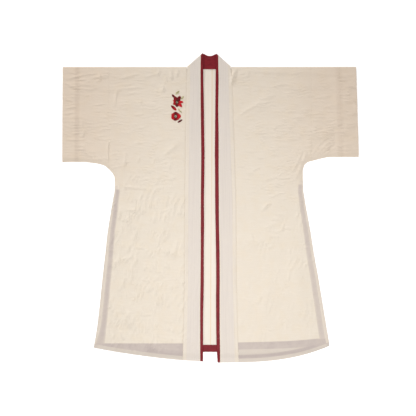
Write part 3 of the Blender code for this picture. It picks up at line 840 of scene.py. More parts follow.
LEFT_FRONT = (
    ((-314, 76), (-272, 73), (-230, 69), 4.4, 1.5),
    ((-298, -6), (-279, -9), (-260, -10), 4.2, 1.5),
    ((-305, -40), (-290, -35), (-275, -27), 4.0, 1.1),
    ((-150, 101), (-135, 105), (-120, 110), 4.2, 0.9),
    ((-182, -14), (-164, -10), (-149, -6), 4.2, 0.8),
    ((-315, 162), (-301, 166), (-289, 171), 4.0, 1.0),
    ((-240, 130), (-225, 130), (-210, 127), 4.2, 0.8),
    ((-160, 2), (-156, 23), (-156, 45), 4.2, 2.1),
    ((-246, -22), (-242, -15), (-240, -4), 3.8, 1.9),
    ((-275, -12), (-271, -4), (-270, 4), 3.8, 1.8),
    ((-350, 140), (-340, 147), (-330, 151), 3.0, 0.9),
    ((-345, 118), (-337, 122), (-328, 123), 3.0, 0.8),
    ((-343, 98), (-336, 99), (-328, 98), 3.0, 0.8),
    ((-286, -272), (-282, -229), (-275, -186), 4.6, 3.0),
    ((-286, -430), (-293, -402), (-293, -373), 4.6, 3.4),
    ((-131, -183), (-124, -150), (-120, -114), 4.4, 2.4),
    ((-325, -298), (-314, -272), (-306, -243), 4.4, 2.7),
    ((-170, -114), (-170, -92), (-167, -67), 4.2, 2.1),
    ((-275, -118), (-268, -96), (-257, -70), 4.2, 1.9),
    ((-310, -471), (-314, -456), (-319, -441), 4.0, 3.0),
    ((-296, -161), (-293, -146), (-288, -128), 4.0, 2.7),
    ((-152, -118), (-152, -99), (-149, -77), 4.0, 1.8),
    ((-311, -381), (-314, -366), (-314, -347), 4.0, 2.1),
    ((-167, -53), (-163, -38), (-160, -23), 4.0, 2.1),
    ((-286, -186), (-282, -175), (-282, -160), 4.0, 2.1),
    ((-149, -359), (-149, -348), (-145, -333), 4.0, 2.1),
    ((-196, -290), (-192, -279), (-192, -265), 4.0, 1.9),
    ((-264, -192), (-264, -182), (-264, -171), 3.8, 1.9),
    ((-192, -142), (-185, -128), (-181, -113), 4.0, 1.4),
    ((-235, -225), (-235, -218), (-235, -207), 3.8, 2.1),
    ((-304, -243), (-304, -233), (-304, -221), 3.8, 1.8),
    ((-300, -48), (-299, -40), (-296, -31), 3.8, 2.1),
    ((-192, -434), (-192, -420), (-192, -405), 4.2, 1.3),
    ((-160, -149), (-163, -139), (-163, -129), 4.0, 1.4),
    ((-286, -362), (-285, -350), (-278, -338), 4.0, 1.3),
    ((-214, -455), (-213, -445), (-210, -435), 4.0, 1.4),
    ((-304, -192), (-303, -184), (-300, -176), 3.8, 1.8),
    ((-272, -143), (-254, -142), (-235, -147), 4.2, 1.5),
    ((-312, -184), (-290, -179), (-271, -167), 4.2, 1.2),
    ((-250, -254), (-229, -262), (-211, -262), 4.2, 0.8),
    ((-240, -384), (-223, -384), (-207, -384), 4.2, 0.8),
    ((-199, -233), (-187, -230), (-175, -230), 4.0, 1.0),
)
PLACES = (RIGHT_ARMPIT, RIGHT_FRONT, RIGHT_CHEST, RIGHT_SLEEVE, LEFT_CHEST, LEFT_SLEEVE, LEFT_FRONT)
CREASES = [Crease(*row) for place in PLACES for row in place]
print("creases on the fronts:", len(CREASES))

# %% Creases on the back, and the shape of a crease
BACK_CREASES = [
    Crease(*row)
    for row in (
        ((120, 250), (204, 290), (318, 302), 6.0, 0.5),
        ((300, 120), (340, 210), (420, 270), 6.0, 0.6),
        ((-320, 150), (-352, 214), (-430, 262), 6.0, 0.6),
        ((-90, 360), (-190, 372), (-300, 350), 6.0, 0.45),
        ((-60, 40), (-150, 22), (-240, 34), 6.5, 0.45),
        ((70, -90), (150, -120), (250, -104), 6.5, 0.5),
        ((210, -210), (222, -300), (214, -400), 6.5, 0.5),
        ((-250, -180), (-262, -280), (-254, -380), 6.5, 0.5),
        ((40, -300), (46, -370), (38, -450), 6.0, 0.4),
        ((-420, 420), (-330, 432), (-240, 420), 6.0, 0.5),
        ((-14, 500), (-12, 450), (-13, 388), 4.6, 0.9),
    )
]
print("creases on the back:", len(BACK_CREASES))


def crease_height(crease, x, y):
    """A crest along the crease's arc, that fades at both ends, with a trough beside it."""
    share = np.linspace(0.0, 1.0, 9)[:, None]
    start, middle, end = (np.array(point, float) for point in (crease.start, crease.middle, crease.end))
    bend = 2 * middle - (start + end) / 2
    line = start * (1 - share) ** 2 + 2 * bend * share * (1 - share) + end * share**2
    reach = 4 * crease.width
    near = (
        (x > line[:, 0].min() - reach)
        & (x < line[:, 0].max() + reach)
        & (y > line[:, 1].min() - reach)
        & (y < line[:, 1].max() + reach)
    )
    total = np.zeros(np.shape(x))
    px, py = x[near], y[near]
    nearest = np.full(px.shape, np.inf)
    signed, along = np.zeros(px.shape), np.zeros(px.shape)
    for i, (a, b) in enumerate(zip(line, line[1:])):
        dx, dy = b - a
        share = np.clip(((px - a[0]) * dx + (py - a[1]) * dy) / (dx * dx + dy * dy), 0.0, 1.0)
        away_x, away_y = px - a[0] - share * dx, py - a[1] - share * dy
        distance = np.hypot(away_x, away_y)
        closer = distance < nearest
        nearest = np.where(closer, distance, nearest)
        signed = np.where(closer, distance * np.sign(dx * away_y - dy * away_x), signed)
        along = np.where(closer, (i + share) / (len(line) - 1), along)
    fade = np.sqrt(np.clip(np.sin(math.pi * np.clip(along, 0.0, 1.0)), 0.0, 1.0))
    crest = np.exp(-((signed / crease.width) ** 2))
    trough = np.exp(-(((signed + 1.7 * crease.width) / crease.width) ** 2))
    total[near] = crease.height * fade * (crest - 0.35 * trough)
    return total


# %% The crinkle of the gauze
def soft_noise(x, y, seed):
    """Smooth noise from -1 to 1 over a lattice of whole numbers, the same on every run."""
    table = np.random.default_rng(seed).uniform(-1.0, 1.0, (256, 256))
    i, j = np.floor(x).astype(int), np.floor(y).astype(int)
    u, v = x - i, y - j
    u, v = u * u * (3 - 2 * u), v * v * (3 - 2 * v)
    low = between(table[i % 256, j % 256], table[(i + 1) % 256, j % 256], u)
    high = between(table[i % 256, (j + 1) % 256], table[(i + 1) % 256, (j + 1) % 256], u)
    return between(low, high, v)


def pleats(x, y, warp, spacing, length, seed):
    """Pleats this far apart, each in short stretches that fade in and out along it."""
    stretches = np.clip(0.35 + 1.1 * soft_noise(x / length, y / (1.6 * spacing), seed), 0.0, 1.0)
    crest = (0.5 + 0.5 * np.sin((y + warp) * 2 * math.pi / spacing)) ** 1.5
    return stretches * crest


def crinkle(x, y):
    """Short wavy pleats, strongest towards the right cuff, and upright ones low on the left."""
    # How far the pleats wander, in slow and in quick waves
    warp = 8.0 * soft_noise(x / 44, y / 33, 11) + 4.6 * soft_noise(x / 14.5, y / 14, 12)
    other = 11.0 * soft_noise(x / 70, y / 47, 13) + 4.5 * soft_noise(x / 23, y / 24, 14)
    across = 0.8 * pleats(x, y, warp, 10.5, 19.0, 1) + 0.6 * pleats(x, y, other, 15.5, 38.0, 2)
    along, aside = y * 0.96 + x * 0.27, x * 0.96 - y * 0.27
    narrow, wide = pleats(along, aside, warp, 14.0, 24.0, 3), pleats(along, aside, other, 21.0, 38.0, 6)
    upright = 1.1 * narrow**1.6 + wide**1.6
    # Where each kind is strong: in patches, up on the chest, low down, and by the right slit
    patches = np.clip(0.8 + 0.5 * soft_noise(x / 90, y / 66, 4), 0.25, 1.2)
    upper = ease(-90.0, 130.0, y) * between(1.0, 1.15, ease(300.0, 380.0, np.abs(x)))
    upper = upper * between(1.05, 2.15, ease(20.0, 400.0, x))
    lower = (1 - ease(-60.0, 190.0, y)) * between(2.1, 0.55, ease(-150.0, 90.0, x))
    slit = 0.6 * np.exp(-(((x - 278) / 56) ** 2) - ((y + 30) / 78) ** 2)
    level = patches * (across * np.maximum(upper, 0.45) + upright * np.maximum(lower, slit))
    return level + 0.5 * soft_noise(x / 64, y / 52, 5) - 0.3


# %% Puckers beside the stitched lines
def puckers(side, x, y):
    """Small pleats that a line of stitching draws in beside a cuff, a hem or a slit."""
    # Pleats reach 15 mm from the cuff's stitched line into the sleeve, and 34 mm outward
    from_cuff = cuff_x(side, y) - CUFF_DEPTH - x
    on_sleeve = ease(SLEEVE_SEAM - 4, SLEEVE_SEAM + 8, x)
    at_cuff = np.exp(-((from_cuff / np.where(from_cuff > 0, 15.0, 34.0)) ** 2)) * on_sleeve
    sway = 4.0 * soft_noise(x / 40, y / 22, 21)
    short = 0.8 * pleats(x, y, sway, 11.5, 60.0, 23) + 0.9 * pleats(x, y, sway, 17.0, 34.0, 24)
    groove = -0.5 * np.exp(-((from_cuff / 2.6) ** 2)) * on_sleeve
    from_hem = y - hem_y(side, side.front_hem, x) - side.hem_facing[0]
    at_hem = np.exp(-((from_hem / 14.0) ** 2)) * pleats(y, x, 0.0, 12.0, 40.0, 22)
    return 1.1 * short * at_cuff + groove + 0.5 * at_hem


# %% The height of the front
# Where the front comes down to the back: from a fold, a hem, a cuff and a seam, and where it
# hangs past the back's hem. Each pair is the start and the end of the slope.
TOP_EASE = (14.0, 64.0)
HEM_EASE = (34.0, 78.0)
CUFF_EASE = (66.0, 104.0)
SEAM_EASE = (0.0, 16.0)
OVERHANG_EASE = (3.0, 24.0)
CLOSED_EASE = (0.0, 7.0)
RIDGE_EASE = (0.0, 60.0)


def front_height(side, x, y):
    """The height of the middle of the front's cloth over the surface."""
    back_hem = hem_y(side, side.back_hem, x)
    low = (
        ease(*TOP_EASE, FOLD_Y - y)
        * ease(*HEM_EASE, y - back_hem)
        * ease(*CUFF_EASE, cuff_x(side, y) - x)
    )
    sewn = line_distance(SEWN[side.name], x, y)
    near_seam = ease(*SEAM_EASE, sewn)
    height = between(HIGH_MID, LOW_MID, low) + ridges(side, x, y) * ease(*RIDGE_EASE, FOLD_Y - y)
    height = between(SEAM_MID, height, near_seam)
    height = between(height, HEM_MID, ease(*OVERHANG_EASE, back_hem - y))
    real_x = side.sign * x
    relief = crinkle(real_x, y) + puckers(side, x, y)
    for crease in CREASES:
        relief = relief + crease_height(crease, real_x, y)
    # Creases and crinkle are held down at seams and the fold, on the band and at the hem
    free = between(0.12, 1.0, near_seam) * ease(-4.0, 26.0, FOLD_Y - y)
    free = free * between(0.4, 1.0, ease(-12.0, 6.0, x - band_x(side, y, "seam")))
    free = free * between(1.0, 0.45, ease(-10.0, 14.0, back_hem - y))
    height = height + relief * free
    return between(CLOSED_MID, height, ease(*CLOSED_EASE, sewn))


def back_height(side, x, y):
    """The back lies on the surface, with low creases that never lift it far."""
    real_x = side.sign * x
    relief = 0.16 * soft_noise(real_x / 34, y / 7.0, 31) + 0.14 * soft_noise(real_x / 60, y / 40, 32)
    for crease in BACK_CREASES:
        relief = relief + crease_height(crease, real_x, y)
    sewn = ease(0.0, 12.0, line_distance(SEWN[side.name], x, y))
    free = sewn * ease(2.0, 30.0, FOLD_Y - y) * ease(0.0, 12.0, y - hem_y(side, side.back_hem, x))
    height = BACK_MID + np.maximum(relief, -0.22) * free
    return between(CLOSED_MID - 0.6, height, ease(*CLOSED_EASE, sewn * 12))


# %% [markdown]
# ## From rows of points to a sheet of cloth
#
# Each piece of cloth is a grid of points on the middle of the cloth. Blender's Solidify
# modifier could thicken it, but its rim would not know where a hem is turned and so
# thicker. One function here closes a grid into a thin sheet: the points move out to both
# sides along their normals, and quads join them round the border.


# %% The sheet builder
def grid_normals(points):
    """The direction out of the cloth at each point of a grid that may have gaps."""

    def slope(axis):
        """The mean step to the neighbours along one axis of the grid."""
        step = np.diff(points, axis=axis)
        pad = [(0, 0)] * 3
        pad[axis] = (1, 0)
        before = np.pad(step, pad, constant_values=np.nan)
        pad[axis] = (0, 1)
        after = np.pad(step, pad, constant_values=np.nan)
        count = (~np.isnan(before[..., :1])).astype(int) + (~np.isnan(after[..., :1])).astype(int)
        return (np.nan_to_num(before) + np.nan_to_num(after)) / np.maximum(count, 1)

    normal = np.cross(slope(1), slope(0))
    length = np.linalg.norm(normal, axis=-1, keepdims=True)
    return normal / np.where(length > 0, length, 1.0)


def new_piece(name, points, faces, material, cut, measures):
    """An object from points in millimetres, each with its place in the cut and its measures."""
    mesh = bpy.data.meshes.new(name)
    mesh.from_pydata((points * MM).tolist(), [], faces)
    mesh.materials.append(material)
    corners = np.zeros(len(mesh.loops), int)
    mesh.loops.foreach_get("vertex_index", corners)
    mesh.uv_layers.new(name="cut").data.foreach_set("uv", (cut * MM)[corners].ravel())
    for key, values in measures.items():
        mesh.attributes.new(key, "FLOAT", "POINT").data.foreach_set("value", values)
    mesh.shade_smooth()
    mesh.set_sharp_from_angle(angle=math.radians(60))
    mesh.update()
    obj = bpy.data.objects.new(name, mesh)
    bpy.context.scene.collection.objects.link(obj)
    print(f"{name}: {sum(len(face) - 2 for face in faces)} triangles")
    return obj


def sheet_mesh(name, points, normals, above, below, material, cut, measures=None):
    """A closed sheet from a grid of points in millimetres, this thick above and below it."""
    there = ~np.isnan(points[..., 0])
    cells = there[:-1, :-1] & there[:-1, 1:] & there[1:, 1:] & there[1:, :-1]
    used = np.zeros(there.shape, bool)
    for r, c in ((0, 0), (0, 1), (1, 0), (1, 1)):
        used[r : r + cells.shape[0], c : c + cells.shape[1]] |= cells
    index = np.cumsum(used.ravel()).reshape(used.shape) - 1
    count = int(used.sum())
    above = np.broadcast_to(above, used.shape)[used][:, None]
    below = np.broadcast_to(below, used.shape)[used][:, None]
    top = points[used] + normals[used] * above
    low = points[used] - normals[used] * below

    first = tuple(np.argwhere(cells)[len(np.argwhere(cells)) // 2])
    corner = points[first]
    across = points[first[0], first[1] + 1] - corner
    down = points[first[0] + 1, first[1]] - corner
    turn = 1 if np.dot(np.cross(across, down), normals[first]) > 0 else -1

    ring = [index[:-1, :-1], index[:-1, 1:], index[1:, 1:], index[1:, :-1]]
    faces = np.stack([corners[cells] for corners in ring], axis=1)[:, ::turn]
    padded = np.pad(cells, 1)
    neighbours = (padded[:-2, 1:-1], padded[1:-1, 2:], padded[2:, 1:-1], padded[1:-1, :-2])
    rims = []
    for i, neighbour in enumerate(neighbours):
        open_side = cells & ~neighbour
        a, b = ring[i][open_side], ring[(i + 1) % 4][open_side]
        if turn < 0:
            a, b = b, a
        rims.append(np.stack([b, a, a + count, b + count], axis=1))
    quads = np.concatenate([faces, faces[:, ::-1] + count, *rims])

    flat = np.tile(cut[used], (2, 1))
    spread = {}
    for key, values in (measures or {}).items():
        spread[key] = np.tile(np.broadcast_to(values, used.shape)[used], 2)
    return new_piece(name, np.concatenate([top, low]), quads.tolist(), material, flat, spread)


def join_frame(obj, slot, *nodes):
    """The piece rides on the jacket and takes the place of its plain solids."""
    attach(obj, "root")
    if nodes:
        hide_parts(*nodes)
    return obj


# %% [markdown]
# ## The two halves of the body
#
# Each half is one length of gauze that runs from the back hem up over the shoulder and
# down to the front hem, so it is one grid with a half turn in its middle. Its first
# columns reach from the centre back seam to the neck and end at the back neck. Its last
# columns lie over the slit facing and the strip outside it. Two flat sheets could meet at
# the shoulder instead, but they would show a seam there that the real one hasn't got.

# %% Where the grid's rows and columns lie
# The cloth is GAUZE_HALF thick to each side of its middle, and HEM_TURN more under a turned
# hem. Rows run parallel to the hem up to HEM_ROWS_TOP over it, and bend to level at
# BEND_FROM. The back's rows are closer together beside the armpit, over BACK_FINE. Columns
# lie at shares of the way out: NECK_SHARES to the neck, and BODY_SHARES from there.
GAUZE_HALF = 0.25
HEM_TURN = 0.4
HEM_ROWS_TOP = 62.0
BEND_FROM = 0.0
BACK_FINE = (40.0, 210.0)
NECK_SHARES = (0.0, 0.012, 0.03, 0.09, 0.13, 0.17, 0.23, 0.4, 0.56, 0.72, 0.87, 0.97)
BODY_SHARES = np.concatenate(
    [
        [0.0, 0.004, 0.009, 0.018],
        np.linspace(0.036, 0.28, 14),
        np.linspace(0.292, 1.0, 58),
        [1.33, 1.67, 2.0, 2.3, 2.6, 2.85, 3.0],
    ]
)
FRONT_STEP = 2.6
FOLD_ANGLES = np.linspace(-math.pi / 2, math.pi / 2, 11)


def row_y(side, hem, x, centre):
    """A row's height at x: level at the underarm, and parallel to the hem near it."""
    share = (BEND_FROM - centre) / (BEND_FROM - hem.centre - HEM_ROWS_TOP)
    return centre + (hem_y(side, hem, x) - hem.centre) * np.clip(share, 0.0, 1.0)


def slit_offsets(side, y):
    """How far the slit facing's two edges lie from the side edge at this height."""
    hem = side.side_edge[0].height
    down = np.clip((side.slit_top - y) / (side.slit_top - hem), 0.0, 1.0)
    strip = curve([(row.down, row.strip) for row in side.slit], down)
    width = curve([(row.down, row.width) for row in side.slit], down)
    return strip + width, strip


def body_x(side, y, inner, share):
    """A column's place: share 0 to 1 over the main cloth, to 2 the facing, to 3 the strip."""
    outer = side_x(side, y) - SEAM_GAP / 2
    to_facing, to_strip = slit_offsets(side, y)
    faced, strip = outer - to_facing, outer - to_strip
    main = between(inner, faced, share)
    facing = between(faced, strip, share - 1)
    return np.where(share <= 1, main, np.where(share <= 2, facing, between(strip, outer, share - 2)))


def level_rows(side, hem, centres, inner_at):
    """The x and y of each point, as its place and its height settle on each other."""
    centre = np.array(centres)[:, None] * np.ones(len(BODY_SHARES))
    y = centre
    for _ in range(8):
        x = body_x(side, y, inner_at(y), BODY_SHARES[None, :])
        y = row_y(side, hem, x, centre)
    return x, y


def stretch_rows(start, end, step):
    """Heights from start to end about a step apart, without the last."""
    return np.linspace(start, end, max(2, math.ceil(abs(end - start) / step)) + 1)[:-1]


def front_centres(side):
    """Heights of the front's rows at the middle, and the rows at the facing's two edges."""
    hem = side.front_hem.centre
    facing_top, facing_end = (hem + rise for rise in side.hem_facing)
    parts = [
        stretch_rows(FOLD_Y - 1.2, hem + HEM_ROWS_TOP, FRONT_STEP),
        stretch_rows(hem + HEM_ROWS_TOP, facing_top, FRONT_STEP),
        stretch_rows(facing_top, facing_end, FRONT_STEP),
        stretch_rows(facing_end, hem + 1.0, FRONT_STEP),
        [hem + 1.0, hem],
    ]
    return np.concatenate(parts), len(parts[0]) + len(parts[1]), sum(len(part) for part in parts[:3])


def back_centres(side):
    """Heights of the back's rows at the middle, and the row at its facing's top."""
    hem = side.back_hem.centre
    parts = [
        [hem, hem + 1.0],
        stretch_rows(hem + 4.0, hem + BACK_FACING, 4.5),
        stretch_rows(hem + BACK_FACING, BACK_FINE[0], 9.0),
        stretch_rows(*BACK_FINE, 3.5),
        stretch_rows(BACK_FINE[1], BACK_NECK_Y - SEAM_GAP / 2, 9.0),
        [BACK_NECK_Y - SEAM_GAP / 2],
    ]
    return np.concatenate(parts), len(parts[0]) + len(parts[1])


# %% The grid of one half
def spatial(side, x, y, z):
    """Points in space from distances out from the middle, on this side."""
    return np.stack([side.sign * x, y, z], axis=-1)


def body_grid(side):
    """The half's points, its flat cut, its measured distances, and where its front starts."""
    neck = side.neck + SEAM_GAP / 2
    heights, facing_row = back_centres(side)
    x, y = level_rows(side, side.back_hem, heights, lambda y: neck + 0 * y)
    shares = np.array(NECK_SHARES)[None, :]
    neck_x = between(SEAM_GAP / 2, neck, shares) + 0 * y[:, :1]
    neck_y = row_y(side, side.back_hem, neck_x, heights[:, None])
    x, y = np.hstack([neck_x, x]), np.hstack([neck_y, y])
    back = spatial(side, x, y, back_height(side, x, y))

    skipped = len(NECK_SHARES)
    fold_x = body_x(side, FOLD_Y, neck, BODY_SHARES)[None, :] + 0 * FOLD_ANGLES[:, None]
    fold_y = FOLD_Y + FOLD_RADIUS * np.cos(FOLD_ANGLES)[:, None] + 0 * fold_x
    fold_z = FOLD_MID + FOLD_RADIUS * np.sin(FOLD_ANGLES)[:, None] + 0 * fold_x
    fold = spatial(side, fold_x, fold_y, fold_z)

    centres, facing_top, facing_end = front_centres(side)
    front_x, front_y = level_rows(
        side, side.front_hem, centres, lambda y: band_x(side, y, "seam") + SEAM_GAP / 2
    )
    front = spatial(side, front_x, front_y, front_height(side, front_x, front_y))
    gap = np.full((len(fold) + len(front), skipped, 3), np.nan)
    points = np.vstack([back, np.hstack([gap, np.vstack([fold, front])])])

    turned = FOLD_RADIUS * FOLD_ANGLES[:, None] + 0 * fold_x
    flat_y = np.vstack([fold, front])[..., 1]
    length = np.vstack([turned, FOLD_Y - flat_y[len(fold) :] + FOLD_RADIUS * math.pi / 2])
    back_length = back[..., 1] - FOLD_Y - FOLD_RADIUS * math.pi / 2
    blank = np.zeros((len(fold) + len(front), skipped))
    cut_y = np.vstack([back_length, np.hstack([blank, length])])
    cut = np.stack([np.abs(np.nan_to_num(points[..., 0])), cut_y], -1)

    starts = {"back": len(back), "front": len(back) + len(fold)}
    rows = {
        "back_facing": facing_row,
        "facing_top": starts["front"] + facing_top,
        "facing_end": starts["front"] + facing_end,
    }
    return points, cut, starts, rows


# %% What the material reads at each point
# A measure that has nothing to show is FAR where small values show, and OUTSIDE where large
# ones do. The veils limit how plainly a facing's cast shows through its own cloth, and
# CAST_TOP is the level where the cast of the back's facing ends. A slit's facing starts
# SLIT_FACING_START below the slit's top. The sleeve seam counts as a little further off
# than it is, which keeps its line faint.
FAR = 60.0
OUTSIDE = -20.0
PLAIN = {
    "own": OUTSIDE,
    "back": FAR,
    "edge": FAR,
    "seam": FAR,
    "bare": OUTSIDE,
    "allowance": 0.0,
    "centre": FAR,
    # deep is painted shade
    "deep": 0.0,
}
PAST_EDGE = 10.0
SLIT_FACING_START = 16.0
SLIT_VEIL = {"left": 1.0, "right": 0.5}
HEM_VEIL = 1.4
CAST_TOP = {"left": -487.0, "right": -470.0}
SLEEVE_SEAM_FAINT = 2.0


def painted_shade_to_cuffs(x, y):
    """Painted shade, from 0 low on the fronts to 1 at the cuffs, and darker towards the top."""
    return 0.75 * ease(150.0, 540.0, x) * ease(-60.0, 170.0, y) + 0.25 * ease(-60.0, 500.0, y)


def body_measures(side, points, starts):
    """How far each point lies inside or from the facings, edges and seams."""
    x, y = np.abs(np.nan_to_num(points[..., 0])), np.nan_to_num(points[..., 1])
    row = np.arange(len(y))[:, None]
    on_back, on_front = row < starts["back"], row >= starts["front"]
    from_side = side_x(side, y) - x
    from_hem = y - hem_y(side, side.front_hem, x)
    to_facing, to_strip = slit_offsets(side, y)

    in_slit = np.minimum(from_side - to_strip, to_facing - from_side)
    in_slit = np.minimum(in_slit, side.slit_top - SLIT_FACING_START - y)
    in_slit = np.minimum(in_slit, from_hem - side.hem_facing[1])
    in_hem = np.minimum(side.hem_facing[0] - from_hem, from_hem - side.hem_facing[1])
    in_hem = np.minimum(in_hem, from_side - to_strip)
    in_hem = np.minimum(np.minimum(in_hem, CAST_TOP[side.name] - y), HEM_VEIL)
    own = np.maximum(np.minimum(in_slit, SLIT_VEIL[side.name]), in_hem)

    # Seen through the front, the back's hem lies a little higher, and its facing ends level.
    # The front's own turned strips hide the facing.
    back = y - hem_y(side, side.back_hem, x)
    through = back - between(7.5, 1.5, ease(110.0, 360.0, x))
    through = np.maximum(through, y - CAST_TOP[side.name] + BACK_FACING)
    over_facing = (through > 0.0) & (through < BACK_FACING)
    through[over_facing & (from_side < to_strip - 0.3)] = BACK_FACING + PAST_EDGE
    through[over_facing & (from_hem < side.hem_facing[1] - 0.3)] = -PAST_EDGE

    beside_sleeve = np.where(y > side.side_edge[-1].height, SLEEVE_SEAM - x + SLEEVE_SEAM_FAINT, FAR)
    beside_band = np.where(on_front, x - band_x(side, y, "seam"), FAR)
    from_centre = np.abs(side.sign * x - between(1.7, 8.0, ease(-520.0, 500.0, y)))
    return {
        "own": np.where(on_front, own, OUTSIDE),
        "back": np.where(on_front, through, back),
        # edge: darker along the slits, from the turned hem, with painted shade
        "edge": np.where(y < side.slit_top, from_side, FAR),
        # seam: darker near seams, from thread and doubled cloth, with painted shade in the groove
        "seam": np.minimum(beside_sleeve, np.maximum(beside_band, 0.0)),
        "bare": np.where(on_back, band_x(side, y, "free") - x, OUTSIDE),
        "allowance": 0.0,
        "centre": np.where(on_back, from_centre, FAR),
        # deep: painted shade towards the cuffs and the top
        "deep": painted_shade_to_cuffs(x, y),
    }


# %% Dips along the seams
SEAM_DIP = 0.3
SEAM_REACH = 2.4


def dip(points, normals, distance):
    """The cloth drawn in along a seam, the most where the distance to it is 0."""
    depth = SEAM_DIP * np.exp(-((distance / SEAM_REACH) ** 2))
    return points - normals * depth[..., None]


# %% Build both halves
halves = {}
for side in SIDES:
    points, cut, starts, rows = body_grid(side)
    normals = grid_normals(points)
    # The front's normals, a few rows below the fold, have to point up
    if np.nanmean(normals[starts["front"] + 5, -20:, 2]) < 0:
        normals = -normals
    measures = body_measures(side, points, starts)
    front = np.arange(len(points))[:, None] >= starts["front"]
    points = dip(points, normals, np.where(front, measures["seam"], FAR))
    from_hem = points[..., 1] - hem_y(side, side.front_hem, np.abs(points[..., 0]))
    to_strip = slit_offsets(side, np.nan_to_num(points[..., 1]))[1]
    turned = front & ((from_hem < side.hem_facing[1]) | (measures["edge"] < to_strip))
    halves[side.name] = (points, normals, cut, starts, rows)
    body = sheet_mesh(
        f"body_{side.name}_gauze",
        points,
        normals,
        GAUZE_HALF,
        np.where(turned, GAUZE_HALF + HEM_TURN, GAUZE_HALF),
        cream_gauze,
        cut,
        measures,
    )
    join_frame(body, "cream_gauze", f"body_{side.name}")

# %% [markdown]
# ## The sleeves
#
# A sleeve is one piece of gauze, folded along its top, with its two edges sewn together
# under the arm. Its cuff is a deep turned hem: the cloth turns inward at the wrist and
# runs back 59 mm to the line of stitching that shows across the sleeve. An open tube would
# look the same from above, but one can look into a cuff. So the grid does as the cloth
# does, and goes once round that turn into an inner layer.

# %% The sleeve's grid
# CUFF_INSIDE is how far the turned-in layer lies from the outer one. Columns are fine beside
# the seam, then run to the stitched line at share 1 and over the cuff to 2.
CUFF_INSIDE = 1.05
BACK_STEP = 7.0
SLEEVE_SHARES = np.concatenate(
    [[0.0, 0.009, 0.02, 0.036], np.linspace(0.07, 1.0, 30), np.linspace(1.0, 2.0, 19)[1:]]
)
CUFF_TURN = np.linspace(0.0, math.pi, 6)[1:]
INNER_SHARES = np.linspace(2.0, 1.0, 12)[1:]


def sleeve_x(side, y, share):
    """Share 0 to 1 runs from the seam to the stitched line, and on to 2 at the cuff's end."""
    start, end = SLEEVE_SEAM + SEAM_GAP / 2, cuff_x(side, y)
    line = end - CUFF_DEPTH
    return np.where(share <= 1, between(start, line, share), between(line, end, share - 1))


def sleeve_rows(side, shares, columns, height):
    """Rows between the top fold and the underarm edge, by their share of the way down."""
    share = shares[:, None] + 0 * columns[None, :]
    x = np.full(share.shape, SLEEVE_SEAM)
    for _ in range(6):
        y = between(FOLD_Y, underarm_y(side, x), share)
        x = sleeve_x(side, y, columns[None, :])
    return spatial(side, x, y, height(side, x, y))


def sleeve_grid(side):
    """Rows from the underarm up the back, round the top fold and down the front."""
    columns = SLEEVE_SHARES
    depth = FOLD_Y - underarm_y(side, 450.0)
    back = sleeve_rows(side, np.linspace(1.0, 0.0, round(depth / BACK_STEP))[:-1], columns, back_height)
    x = sleeve_x(side, FOLD_Y, columns)[None, :] + 0 * FOLD_ANGLES[:, None]
    y = FOLD_Y + FOLD_RADIUS * np.cos(FOLD_ANGLES)[:, None] + 0 * x
    fold = spatial(side, x, y, FOLD_MID + FOLD_RADIUS * np.sin(FOLD_ANGLES)[:, None] + 0 * x)
    shares = np.linspace(0.0, 1.0, round(depth / FRONT_STEP))
    shares[0] = 0.004
    front = sleeve_rows(side, shares, columns, front_height)
    return np.vstack([back, fold, front]), len(back)


def turned_cuff(side, points, normals):
    """More columns that turn in round the cuff's end and run back inside the sleeve."""
    radius = CUFF_INSIDE / 2
    end, end_normal = points[:, -1:], normals[:, -1:]
    outward = np.array([side.sign, 0.0, 0.0])
    angle = CUFF_TURN[None, :, None]
    turn = end - end_normal * radius * (1 - np.cos(angle)) + outward * radius * np.sin(angle)
    turn_normal = end_normal * np.cos(angle) + outward * np.sin(angle)
    past_line = int(np.argmax(SLEEVE_SHARES >= 1.0))
    place = past_line + (INNER_SHARES - 1.0) * (len(SLEEVE_SHARES) - 1 - past_line)
    low = np.clip(np.floor(place).astype(int), 0, len(SLEEVE_SHARES) - 2)
    share = (place - low)[None, :, None]
    inner = between(points[:, low], points[:, low + 1], share)
    inner_normal = between(normals[:, low], normals[:, low + 1], share)
    points = np.concatenate([points, turn, inner - inner_normal * CUFF_INSIDE], axis=1)
    return points, np.concatenate([normals, turn_normal, -inner_normal], axis=1)


